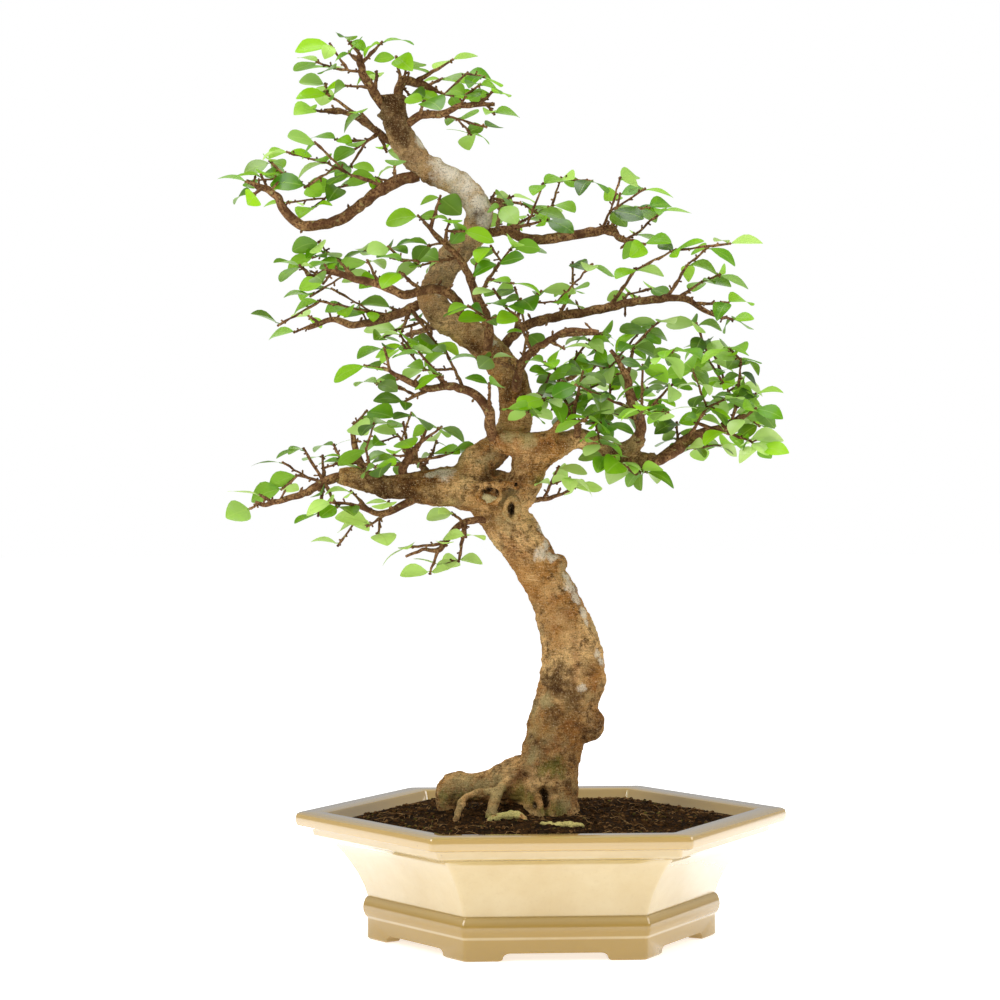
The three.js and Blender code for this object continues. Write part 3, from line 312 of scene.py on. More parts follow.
# How far back and forth its twigs reach, its stem's (x, y, z, radius), and (x, z) of its twigs' ends
sprays = {
    "spray_crown_left": (34, [
        (-127, 0, 676, 3.7), (-133, -4, 684, 3.9), (-139, -8, 693, 3.8), (-146, -11, 705, 3.4),
        (-148, -15, 719, 2.4),
    ], [
        (-155, 717), (-135, 706), (-158, 693), (-168, 709), (-156, 728), (-130, 726), (-172, 728),
        (-182, 713),
    ]),
    "spray_crown_right": (34, [
        (-118, 2, 679, 3.8), (-117, 5, 692, 3.9), (-113, 7, 700, 4.1), (-104, 10, 699, 3.8),
        (-95, 12, 696, 3.3), (-86, 15, 692, 2.4),
    ], [
        (-118, 715), (-111, 709), (-108, 688), (-83, 704), (-74, 688), (-74, 715), (-62, 706), (-48, 702),
    ]),
    "spray_upper_right": (30, [
        (-117, 0, 659, 3.4), (-107, -4, 666, 3.6), (-99, -7, 671, 3.6), (-89, -11, 671, 3.3),
        (-79, -14, 672, 2.9), (-67, -18, 677, 2.4), (-52, -21, 678, 2.1), (-39, -25, 678, 1.6),
    ], [
        (-96, 679), (-69, 668), (-62, 685), (-59, 658), (-47, 663), (-51, 692), (-42, 688), (-40, 671),
    ]),
    "spray_upper_left": (30, [
        (-119, 2, 647, 2.8), (-129, 8, 654, 2.9), (-139, 13, 662, 2.9), (-153, 19, 671, 2.3),
        (-167, 24, 678, 2), (-179, 30, 678, 1.5),
    ], [
        (-146, 671), (-128, 644), (-151, 644), (-157, 631), (-167, 651), (-174, 687), (-177, 697),
        (-185, 676),
    ]),
    "spray_left_upper": (44, [
        (-101, 0, 622, 4.6), (-114, -2, 619, 5.1), (-127, -5, 613, 5.1), (-140, -7, 604, 4.9),
        (-152, -9, 594, 4.6), (-166, -12, 585, 4.6), (-182, -14, 581, 4.4), (-195, -16, 581, 4.4),
        (-204, -18, 588, 3.9), (-211, -21, 595, 3.6), (-214, -23, 603, 3.3), (-222, -25, 609, 2.8),
        (-230, -28, 612, 2.3), (-239, -30, 616, 1.6),
    ], [
        (-119, 626), (-135, 621), (-158, 623), (-167, 614), (-175, 632), (-182, 645), (-187, 597),
        (-192, 613), (-208, 602), (-208, 621), (-205, 639), (-222, 634), (-227, 620), (-231, 604),
        (-240, 617),
    ]),
    "spray_left_middle": (38, [
        (-67, -2, 510, 3.3), (-68, -10, 518, 3.4), (-75, -15, 525, 3.8), (-86, -19, 529, 3.9),
        (-98, -22, 528, 3.8), (-112, -26, 524, 3.4), (-125, -30, 530, 3.3), (-138, -34, 534, 3.1),
        (-151, -37, 537, 2.9), (-165, -41, 541, 2.6), (-175, -45, 542, 2.4), (-184, -48, 538, 2),
        (-190, -51, 543, 1.5),
    ], [
        (-114, 541), (-135, 539), (-141, 551), (-154, 546), (-164, 551), (-175, 533), (-175, 560),
        (-181, 567), (-188, 525), (-186, 556), (-194, 546),
    ]),
    "spray_left_lower": (34, [
        (-88, 6, 516, 3.6), (-101, 11, 518, 3.9), (-115, 16, 511, 3.9), (-131, 21, 506, 3.8),
        (-146, 26, 503, 3.3), (-158, 31, 502, 2.9), (-171, 36, 506, 2.6), (-184, 41, 503, 2.1),
        (-194, 46, 499, 1.6),
    ], [
        (-115, 492), (-123, 515), (-107, 481), (-87, 486), (-140, 512), (-158, 515), (-171, 530), (-181, 520),
        (-193, 509), (-203, 496), (-214, 501),
    ]),
    "spray_middle_left": (44, [
        (-37, -2, 404, 4.1), (-42, -15, 415, 4.6), (-43, -19, 430, 4.2), (-52, -23, 441, 3.8),
        (-64, -27, 448, 3.4), (-78, -32, 451, 3.3), (-91, -36, 449, 2.9), (-102, -40, 452, 2.6),
        (-113, -44, 457, 2.3), (-123, -48, 463, 1.6),
    ], [
        (-43, 452), (-78, 478), (-83, 460), (-96, 464), (-112, 438), (-99, 477), (-118, 451), (-127, 480),
        (-114, 485), (-134, 453), (-142, 467),
    ]),
    "spray_center": (40, [
        (-45, -6, 482, 3.9), (-43, -16, 493, 4.2), (-47, -17, 509, 4.4), (-53, -19, 522, 4.1),
        (-57, -20, 533, 3.6), (-64, -23, 549, 2.9), (-74, -26, 561, 2.6), (-85, -30, 571, 2.1),
        (-96, -34, 583, 1.5),
    ], [
        (-36, 548), (-52, 556), (-83, 551), (-75, 583), (-99, 548), (-112, 551), (-65, 575), (-91, 564),
        (-101, 590), (-83, 603), (-123, 561), (-143, 561), (-25, 562), (-41, 562), (-7, 566), (-25, 533),
    ]),
    "spray_right_upper": (51, [
        (-54, 2, 577, 3.8), (-43, 5, 576, 4.2), (-31, 8, 578, 4.2), (-18, 11, 573, 4.2), (0, 14, 571, 4.1),
        (20, 16, 574, 4.1), (39, 19, 577, 4.1), (57, 22, 580, 3.8), (63, 25, 573, 2.4), (73, 28, 568, 1.6),
    ], [
        (-34, 594), (-15, 587), (3, 585), (8, 599), (56, 594), (0, 613), (15, 620), (39, 617), (65, 610),
        (77, 576), (82, 566), (79, 599), (64, 621), (82, 610), (88, 599), (98, 594),
    ]),
    "spray_right_middle": (45, [
        (-38, 6, 475, 3.8), (-29, 9, 487, 4.1), (-16, 11, 499, 4.1), (-2, 14, 505, 4.1), (13, 17, 508, 3.9),
        (31, 19, 511, 3.8), (56, 22, 516, 3.6), (74, 25, 520, 3.4), (92, 27, 522, 3.3), (113, 30, 524, 2.9),
        (126, 33, 519, 2.4), (138, 35, 512, 2), (147, 38, 508, 1.5),
    ], [
        (-18, 520), (-2, 527), (12, 519), (25, 530), (25, 551), (39, 548), (71, 527), (76, 546), (90, 532),
        (120, 551), (107, 561), (133, 538), (135, 564), (149, 565), (146, 543), (151, 519), (159, 507),
    ]),
    "spray_center_front": (46, [
        (-22, 2, 446, 3.8), (-20, -14, 457, 4.1), (-17, -21, 469, 3.8), (-9, -28, 478, 3.3),
        (4, -35, 487, 2.8), (19, -42, 495, 2.4), (31, -49, 495, 2.1), (44, -56, 494, 1.6),
    ], [
        (1, 469), (-12, 493), (16, 481), (-41, 473), (-52, 473), (-20, 506), (-30, 514), (-44, 504),
        (-39, 527), (-22, 530), (-59, 514), (48, 494),
    ]),
    "spray_pad_inner": (72, [
        (77, -5, 402, 4.1), (80, -11, 417, 4.6), (77, -13, 431, 4.4), (71, -15, 443, 3.9),
        (69, -16, 456, 3.3), (63, -18, 469, 2.4), (55, -20, 480, 1.6),
    ], [
        (79, 433), (56, 430), (97, 430), (87, 449), (42, 441), (79, 466), (56, 466), (105, 451), (40, 470),
        (74, 483), (102, 478), (81, 496), (95, 503), (27, 451), (39, 488),
    ]),
    "spray_pad_outer": (60, [
        (83, 2, 390, 4.1), (96, 5, 391, 4.9), (106, 8, 397, 5.1), (118, 11, 406, 5.1), (130, 14, 412, 4.6),
        (148, 16, 417, 3.6), (164, 19, 426, 2.4), (173, 22, 430, 1.6),
    ], [
        (125, 400), (111, 420), (133, 433), (149, 402), (148, 440), (166, 407), (161, 443), (121, 463),
        (152, 458), (139, 472), (162, 472), (166, 453), (174, 444), (170, 432), (179, 419), (172, 401),
        (141, 489), (129, 502), (153, 481),
    ]),
    "spray_pad_near": (40, [
        (27, -7, 406, 2.8), (29, -20, 417, 2.9), (24, -25, 424, 2.8), (16, -29, 431, 2.4),
        (11, -34, 436, 1.6),
    ], [
        (35, 425), (16, 446), (1, 440), (-12, 430), (33, 443), (32, 461), (11, 465), (51, 420), (46, 404),
    ]),
    "spray_pad_under": (22, [
        (70, -2, 393, 2.6), (71, -13, 386, 2.6), (76, -24, 380, 2),
    ], [
        (63, 389), (84, 381), (50, 394),
    ]),
    "spray_low_tip": (30, [
        (-158, -8, 377, 3.6), (-171, -12, 376, 4.1), (-184, -15, 369, 3.6), (-197, -19, 362, 2.9),
        (-210, -23, 359, 2.4), (-224, -26, 355, 2), (-232, -30, 357, 1.3),
    ], [
        (-166, 354), (-182, 347), (-179, 362), (-180, 393), (-167, 388), (-193, 399), (-200, 378),
        (-210, 388), (-213, 367), (-229, 362), (-236, 352),
    ]),
    "spray_low_left": (46, [
        (-140, -6, 371, 3.6), (-146, 0, 382, 3.8), (-151, 6, 393, 3.3), (-154, 12, 403, 2.4),
        (-156, 18, 412, 1.6),
    ], [
        (-134, 386), (-164, 389), (-143, 399), (-172, 402), (-154, 420), (-136, 420), (-144, 430),
    ]),
    "spray_low_middle": (46, [
        (-111, -2, 371, 3.6), (-114, -6, 383, 3.8), (-109, -10, 392, 3.3), (-104, -14, 399, 2.6),
        (-99, -18, 405, 1.6),
    ], [
        (-126, 388), (-75, 396), (-114, 407), (-87, 405), (-93, 418), (-106, 428), (-113, 420), (-83, 417),
    ]),
    "spray_low_under": (26, [
        (-100, -6, 360, 2.9), (-111, -14, 355, 3.1), (-122, -22, 350, 2.8), (-134, -30, 348, 2.4),
        (-145, -38, 353, 2.1), (-155, -46, 356, 1.5),
    ], [
        (-124, 357), (-140, 338), (-133, 331), (-154, 339), (-154, 365), (-169, 357), (-167, 321),
    ]),
    "spray_hanging": (28, [
        (-45, -8, 342, 2.8), (-57, -16, 342, 3.1), (-69, -23, 337, 2.9), (-76, -30, 328, 2.6),
        (-84, -36, 319, 2.1), (-96, -43, 319, 1.6), (-110, -50, 314, 1.1),
    ], [
        (-62, 330), (-73, 347), (-78, 323), (-68, 309), (-82, 304), (-91, 300), (-109, 320),
    ]),
    "spray_fork_right": (22, [
        (-17, 4, 356, 2.3), (-4, 14, 358, 2.3), (7, 24, 359, 2), (17, 34, 362, 1.3),
    ], [
        (7, 371), (13, 384), (21, 376), (26, 367),
    ]),
    "spray_back_crown": (22, [
        (-57, 6, 598, 2.9), (-49, 16, 601, 2.9), (-38, 44, 602, 2.4), (-28, 72, 602, 1.6),
    ], [
        (-39, 608), (-25, 608), (-15, 600), (-30, 591), (-5, 593),
    ]),
    "spray_back_left": (26, [
        (-79, 8, 507, 3.1), (-85, 20, 502, 3.1), (-98, 56, 498, 2.6), (-114, 92, 494, 1.6),
    ], [
        (-91, 489), (-102, 508), (-119, 498), (-114, 484), (-131, 491),
    ]),
    "spray_back_right": (30, [
        (-20, 14, 431, 3.4), (-10, 30, 438, 3.4), (6, 59, 448, 2.9), (24, 89, 458, 2.1), (39, 118, 467, 1.6),
    ], [
        (6, 460), (16, 440), (27, 473), (41, 453), (49, 471), (59, 458), (36, 485),
    ]),
    "spray_back_low": (28, [
        (-88, 4, 369, 3.3), (-94, 24, 379, 3.3), (-103, 64, 388, 2.8), (-116, 104, 397, 1.6),
    ], [
        (-91, 395), (-106, 405), (-119, 410), (-124, 393), (-134, 405), (-114, 388),
    ]),
}

swellings = [  # place and size
    ((37, -8, 175), (13, 14, 15)),  # burl low on the right
    ((-20, -12, 122), (13, 9, 10)),  # bulge of a second root behind the front one
    ((-87, -2, 632), (6, 6, 5)),
    ((-20.5, -3, 389), (5, 7, 9)),
    ((-27.5, -12, 316), (4, 3.5, 4)),  # warts
    ((8.6, -27.5, 150), (4.5, 3.5, 4.5)),
    ((-13, -20, 140), (5, 4, 5.5)),
    ((15.8, -23.5, 227), (6, 3.5, 4)),
    ((7, -23.5, 210), (9, 3.5, 4)),
    ((38, -24, 222), (8, 4, 6)),
    ((-4, -12, 193), (4, 4, 5)),
    ((9, -29, 128), (5, 5, 4)),
    ((-2, -27, 127), (4, 5, 4)),
    ((15, -80, 101.8), (11, 5, 2.6)),  # slab of old bark on the soil
    ((3, -77, 102.4), (7, 4.5, 2.3)),
    ((26, -83, 101.2), (7, 4.5, 2.3)),
    ((12, -2, 306), (9, 10, 8)),  # knob on the bend
    ((-42, -14, 362), (11, 9, 8)),  # old pruning cut
    ((-92, 0, 626), (10, 11, 10)),
]


# Growth of the twigs and leaves: every twig end joins the nearest good place on what has grown

growth = {
    "twigTipRadius": 1,
    "twigThinness": 0.85,  # of what a twig starts from, at most
    "twigClearance": 1.6,
    "twigTries": 7,  # depths tried for a twig, and draws for a leaf
    "leafTries": 8,
    "leafMinLength": 22,
    "leafMaxLength": 31,
    "leafMinSlimness": 0.6,
    # Rounds of leaves: bearing from the twig's own, and place along it
    "leafRounds": ((0.3, 1), (-1.4, 1), (1.8, 1), (3, 1), (1.5, 0.66), (-1.6, 0.6), (0.4, 0.36)),
    "roundShares": (1, 0.75, 0.5, 0.1, 0, 0, 0),  # of a spray's twigs that take part in each
    "padShares": (1, 1, 1, 1, 0.9, 0.9, 0.6),
    "lowShares": (1, 0.45, 0.1, 0, 0, 0, 0),
}


def seeded(seed):
    state = seed * 7919 + 17

    def draw():
        nonlocal state
        state = state * 16807 % 2147483647
        return state / 2147483647

    draw()
    draw()
    return draw


def clamp(value, low=0, high=1):
    return min(max(value, low), high)


def stretchDistance(oneFrom, oneTo, twoFrom, twoTo):
    # Least distance between two straight stretches
    d1 = oneTo - oneFrom
    d2 = twoTo - twoFrom
    between = oneFrom - twoFrom
    a = d1.dot(d1)
    e = d2.dot(d2)
    f = d2.dot(between)
    c = d1.dot(between)
    b = d1.dot(d2)
    spread = a * e - b * b
    s = clamp((b * f - c * e) / spread) if spread > 1e-9 else 0
    t = (b * s + f) / e
    if t < 0 or t > 1:
        t = clamp(t)
        s = clamp((b * t - c) / a)
    return (oneFrom + d1 * s - twoFrom - d2 * t).length


def stretchesOf(route, owner):
    return [
        (Vector(one[:3]), Vector(two[:3]), max(one[3], two[3]), owner)
        for one, two in zip(route, route[1:])
    ]


def startPlaces(stem):
    # Places on a spray that a twig may start from: point, radius, path from the wood, heading
    places = []
    path = 0
    for index, (one, two) in enumerate(zip(stem, stem[1:])):
        start = Vector(one[:3])
        end = Vector(two[:3])
        heading = (end - start).normalized()
        step = (end - start).length
        if index > 0:
            places.append((start.lerp(end, 0.5), (one[3] + two[3]) / 2, path + step / 2, heading))
            places.append((end, two[3], path + step, heading))
        path += step
    return places


def bestStart(places, end):
    best = None
    bestCost = math.inf
    for place in places:
        reach = end - place[0]
        distance = reach.length
        bend = 1 - reach.dot(place[3]) / max(distance, 1)
        cost = distance + 0.3 * place[2] + 9 * bend
        if distance > 5 and cost < bestCost:
            best = place
            bestCost = cost
    return best


def growTwigs(depth, stem, tips, owner, wood):
    places = startPlaces(stem)
    grown = []
    for index, (x, z) in enumerate(tips):
        nearest = min(places, key=lambda place: math.hypot(place[0].x - x, place[0].z - z))
        for attempt in range(growth["twigTries"]):
            share = ((index * 0.618034 + attempt * 0.29) % 1) * 2 - 1
            end = Vector((x, nearest[0].y * 0.6 + depth * share, z))
            start = bestStart(places, end)
            length = (end - start[0]).length
            radius = min(start[1] * growth["twigThinness"], 1.1 + 0.014 * length)
            clear = all(
                other[3] == owner
                or stretchDistance(start[0], end, other[0], other[1])
                > radius + other[2] + growth["twigClearance"]
                for other in wood
            )
            if clear:
                heading = (end - start[0]).normalized()
                for along in (0.55, 1):
                    width = radius + (growth["twigTipRadius"] - radius) * along
                    places.append((start[0].lerp(end, along), width, start[2] + length * along, heading))
                wood.append((start[0], end, radius, owner))
                grown.append({"start": start[0], "end": end, "radius": radius, "heading": heading,
                              "owner": owner, "index": index})
                break
    return grown


def drawLeaf(twig, turn, along, size, random):
    # A leaf's place, frame and size, drawn at random about its twig's heading
    heading = twig["heading"]
    bearing = math.atan2(heading.y, heading.x) + turn + (random() - 0.5) * 0.9
    rise = -0.3 + 0.75 * random()
    roll = (random() - 0.5) * 1.7
    length = growth["leafMinLength"] + (growth["leafMaxLength"] - growth["leafMinLength"]) * random()
    length *= size
    width = length * (growth["leafMinSlimness"] + 0.16 * random())
    heading = Vector((math.cos(bearing) * math.cos(rise), math.sin(bearing) * math.cos(rise), math.sin(rise)))
    level = Vector((0, 0, 1)).cross(heading).normalized()
    upright = heading.cross(level)
    up = upright * math.cos(roll) + level * math.sin(roll)
    return {
        "root": twig["start"].lerp(twig["end"], along), "along": heading, "across": up.cross(heading),
        "up": up, "length": length, "width": width, "owner": twig["owner"], "twig": twig,
    }


def leafPoint(leaf, lengthShare, widthShare, lift=0):
    return (
        leaf["root"] + leaf["along"] * leaf["length"] * lengthShare
        + leaf["across"] * leaf["width"] / 2 * widthShare + leaf["up"] * lift
    )


def leafTriangles(leaf):
    root = leafPoint(leaf, 0.14, 0)
    tip = leafPoint(leaf, 1.03, 0)
    left = leafPoint(leaf, 0.6, -1.08)
    right = leafPoint(leaf, 0.6, 1.08)
    return [(root, right, tip), (root, tip, left)]


def crosses(start, end, triangle):
    a, b, c = triangle
    edge1 = b - a
    edge2 = c - a
    ray = end - start
    across = ray.cross(edge2)
    scale = edge1.dot(across)
    if abs(scale) < 1e-9:
        return False
    offset = start - a
    u = offset.dot(across) / scale
    q = offset.cross(edge1)
    v = ray.dot(q) / scale
    t = edge2.dot(q) / scale
    return u >= 0 and v >= 0 and u + v <= 1 and 0 <= t <= 1


def leavesCross(one, two):
    reach = (one["length"] + two["length"]) * 0.55
    if (one["middle"] - two["middle"]).length > reach:
        return False
    for edges, faces in ((one["faces"], two["faces"]), (two["faces"], one["faces"])):
        for triangle in edges:
            for index in range(3):
                if any(crosses(triangle[index], triangle[(index + 1) % 3], face) for face in faces):
                    return True
    return False


def leafMeetsWood(leaf, wood):
    middle = leafPoint(leaf, 0.6, 0)
    ribStart = leafPoint(leaf, 0.25, 0)
    ribEnd = leafPoint(leaf, 1, 0)
    for start, end, radius, owner in wood:
        reach = leaf["length"] * 0.6 + radius + (end - start).length
        if (start - middle).length > reach:
            continue
        margin = 0.2 if owner == leaf["owner"] else 1
        if stretchDistance(ribStart, ribEnd, start, end) < radius + margin:
            return True
        if any(crosses(start, end, triangle) for triangle in leaf["faces"]):
            return True
    return False


def insideBox(leaf):
    # Whether a leaf stays in the box that the whole part holds
    for lengthShare, widthShare in ((1, 0), (0.6, 1), (0.6, -1), (0.9, 0.6), (0.9, -0.6)):
        for lift in (-0.2, 0.12):
            place = treeFrame @ leafPoint(leaf, lengthShare, widthShare, lift * leaf["length"])
            if any(place[axis] < cadBox[0][axis] or place[axis] > cadBox[1][axis] for axis in range(3)):
                return False
    return True


def takesPart(twig, order):
    name = sprayNames[twig["owner"]]
    kind = "padShares" if name.startswith("spray_pad") else "lowShares" if "low" in name else "roundShares"
    return (twig["index"] * 0.618034 + order * 0.29) % 1 < growth[kind][order]


def growLeaf(twig, order, wood, leaves):
    random = seeded(twig["owner"] * 977 + twig["index"] * 31 + 3 + order * 7)
    size = 1 if order == 0 else 0.62 + 0.34 * ((twig["index"] * 0.618034 + order * 0.37) % 1)
    for attempt in range(growth["leafTries"]):
        leaf = drawLeaf(twig, *growth["leafRounds"][order], size, random)
        bent = order == 0 and leaf["along"].dot(twig["heading"]) < -0.2
        leaf["faces"] = leafTriangles(leaf)
        leaf["middle"] = leafPoint(leaf, 0.55, 0)
        leaf["order"] = order
        if bent or leafMeetsWood(leaf, wood) or any(leavesCross(leaf, other) for other in leaves):
            continue
        if order == 0 or insideBox(leaf):
            return leaf
    return None


print("Growing the twigs and leaves")
sprayNames = list(sprays)
wood = [stretch for route in limbs.values() for stretch in stretchesOf(route, -1)]
for owner, (depth, stem, tips) in enumerate(sprays.values()):
    wood += stretchesOf(stem[2:], owner)
twigs = []
for owner, spray in enumerate(sprays.values()):
    twigs += growTwigs(*spray, owner, wood)
leaves = []
for order in range(len(growth["leafRounds"])):
    for twig in twigs:
        leaf = growLeaf(twig, order, wood, leaves) if takesPart(twig, order) else None
        if leaf:
            leaves.append(leaf)
    print("  after round", order, len(leaves), "leaves on", len(twigs), "twigs")


# Trunk, limbs and surface roots: grown as one piece

bark = {
    "voxel": 1.33,  # millimetres, the grain of the fused wood
    "lumpSize": 15,
    "lumpHeight": 4.6,
    "roughSize": 3.6,
    "roughHeight": 2.4,
}

barkColours = {
    "pale": (232, 188, 124), "mid": (180, 126, 64), "reddish": (150, 86, 44), "dark": (68, 40, 14),
    "crustAndShade": (62, 36, 16), "grey": (182, 164, 112), "lichen": (226, 214, 190), "moss": (118, 126, 52),
    "wood": (216, 202, 150), "recessShade": (66, 36, 14), "high": (176, 156, 124), "paleHighlight": (240, 228, 208),
    "streak": (236, 206, 156), "hump": (214, 206, 128), "deep": (36, 24, 10), "grain": (232, 202, 156),
    "dot": (236, 208, 166),
}

barkPatches = {  # each (x, y, z, reach), on the bark's surface
    "lichen": [
        (-3, -4, 344, 6), (-1, 0, 334, 6), (2, -6, 322, 7), (-2, -11, 315, 8), (8, -9, 312, 6),
        (19, -8, 295, 6), (23, -9, 288, 8), (27, -9, 279, 7), (33, -10, 266, 6), (36, -12, 258, 4),
        (44, -14, 233, 5), (47, -13, 227, 5), (32, -28, 207, 4.5), (-80, -10, 381, 10), (-90, -12, 379, 6),
        (-84, -8, 528, 6), (-40, -6, 488, 7),
    ],
    # dark crusty bark, with painted shade in some patches: at the top, under the left limb and on the front
    # right of the foot
    "crustAndShade": [
        (16, -25, 226, 6), (22, -27, 219, 5), (37, -26, 222, 8), (45, -22, 224, 6), (30, -27, 226, 5),
        (7, -25, 210, 7), (14, -27, 206, 6), (0, -20, 214, 5), (-1, -14, 212, 5), (-5, -13, 193, 6),
        (-9, -16, 166, 6), (-6, -20, 161, 5), (-2, -22, 158, 4), (9, -29, 146, 4), (-14, -18, 137, 6),
        (42, -20, 170, 9), (45, -16, 176, 7), (38, -24, 160, 6), (46, -16, 184, 5), (23, -22, 138, 5),
        (22, -22, 129, 5), (24, -20, 147, 4), (-30, -3, 143, 5), (-33, -2, 136, 5), (-36, -2, 129, 5),
        (-27, -6, 149, 4), (24, -16, 275, 4.5), (-23, -14, 312, 4), (-104, -14, 362, 10), (-28, -20, 396, 7),
        (-8, -16, 374, 6), (-6, -14, 364, 6), (-42, -14, 325, 4), (-10, -18, 300, 5), (-122, -10, 684, 12),
        (-118, -12, 666, 11), (-112, -12, 650, 9), (-130, -12, 364, 12), (-88, -16, 358, 9),
        (-68, -14, 356, 8), (-24, -12, 446, 12), (-60, -6, 480, 10), (-92, -6, 508, 10), (-52, -10, 590, 8),
    ],
    "moss": [
        (8, -28, 144, 10), (0, -27, 140, 7), (16, -28, 139, 8), (-66, 0, 110, 13), (-80, 4, 112, 10),
        (-20, -20, 118, 12), (-10, -24, 116, 9), (2, -32, 108, 8), (12, -31, 107, 9), (-46, -36, 102, 6),
        (20, -32, 106, 8), (-58, 2, 114, 8),
    ],
    "hump": [
        (-41, -50, 102, 9), (-33, -50, 106, 9), (-24, -50, 106, 9), (-15, -49, 101, 9), (4, -78, 102, 11),
        (15, -80, 102, 12), (26, -82, 101, 11), (-12, -60, 99, 8),
    ],
    "cut": [
        (-43, -23, 359, 5), (-46, -22, 360, 4), (-41, -22, 358, 4),
    ],
    # painted shade in the hollows at the fork and in the hollow of the foot
    "deep": [
        (-25, -17, 354, 5), (-25, -17, 349, 6), (-25, -12, 351, 7), (-36, -20, 366.5, 5),
        (-43, -20, 367.5, 5), (-49, -20, 366, 4.5), (-35, -20, 362, 4), (1, -22, 119, 7), (4, -22, 112, 7),
        (-6, -24, 120, 4), (-21.5, -14, 370.5, 3), (-5, -26, 112, 4),
    ],
    "shade": [  # where the wood is darker as a whole
        (20, -22, 186, 40), (4, -22, 148, 36), (-112, -8, 364, 44), (-84, -12, 352, 22), (-122, -6, 672, 32),
        (-24, -6, 440, 34), (-62, -6, 484, 24), (-24, -12, 386, 20), (70, -6, 398, 40), (-92, -8, 616, 12),
        (-66, -8, 602, 12), (-50, -10, 584, 12), (-110, -8, 640, 14), (16, -14, 258, 18), (-46, -8, 398, 14),
    ],
    "paleHighlight": [  # painted highlight: where it shines pale and smooth
        (-74, -12, 626, 17), (-62, -13, 613, 20), (-51, -12, 600, 17), (-44, -10, 587, 11),
        (-84, -10, 636, 10), (-98, -4, 650, 7),
    ],
    "darkestShade": [  # painted shade where the wood is darkest, as at the top and under the left limb
        (-122, -12, 682, 26), (-118, -13, 662, 22), (-112, -2, 646, 11), (-112, -20, 358, 30),
        (-84, -20, 350, 18), (-136, -14, 368, 28), (-56, -2, 482, 12), (-28, -2, 452, 14), (-94, -4, 616, 8),
        (-10, -2, 372, 8), (60, -4, 392, 14), (84, 0, 386, 14), (-46, -6, 574, 9), (14, -26, 211, 18),
        (22, -26, 202, 15), (6, -26, 188, 13),
    ],
    # painted shade in the recess at the fork, behind the old cut
    "recessShade": [
        (-42, -11, 377, 11), (-33, -10, 377, 10), (-49, -13, 373, 7), (-26, -11, 374, 6), (-37, -12, 383, 7),
        (-18, -15, 377, 4), (-4, -10, 362, 5), (0, -6, 352, 4),
    ],
    # painted highlight: where the front of the trunk is lit paler
    "light": [
        (12, -24, 264, 18), (2, -22, 284, 14), (22, -24, 250, 14), (-14, -22, 318, 12), (20, -26, 236, 9),
    ],
    "root": [  # grey-green, near the soil
        (-74, -12, 113, 28), (-58, -13, 113, 22), (-86, -6, 108, 18), (-46, -15, 117, 14), (-70, -6, 122, 20),
        (-52, -6, 124, 16), (-66, -2, 124, 16), (-38, -8, 128, 12), (-40, -27, 119, 15), (-44, -34, 106, 13),
        (18, -28, 112, 12), (-70, -36, 104, 6), (-13, -17, 408, 10), (-27, -14, 411, 8), (-44, -14, 392, 12),
        (-30, -20, 340, 12), (-4, -22, 236, 12), (-10, -16, 190, 10), (2, -24, 196, 9), (-8, -22, 150, 9),
    ],
}

barkLayers = (  # patches, softness of their edges, strength and colour, each laid over the last
    # the first three layers are painted shade, the fourth and the last painted highlight
    ("shade", 1.5, 0.55, "dark"), ("darkestShade", 0.8, 0.8, "dark"), ("recessShade", 0.7, 0.85, "recessShade"),
    ("light", 1.2, 0.55, "pale"), ("root", 0.7, 0.75, "grey"), ("paleHighlight", 0.8, 0.88, "paleHighlight"),
)


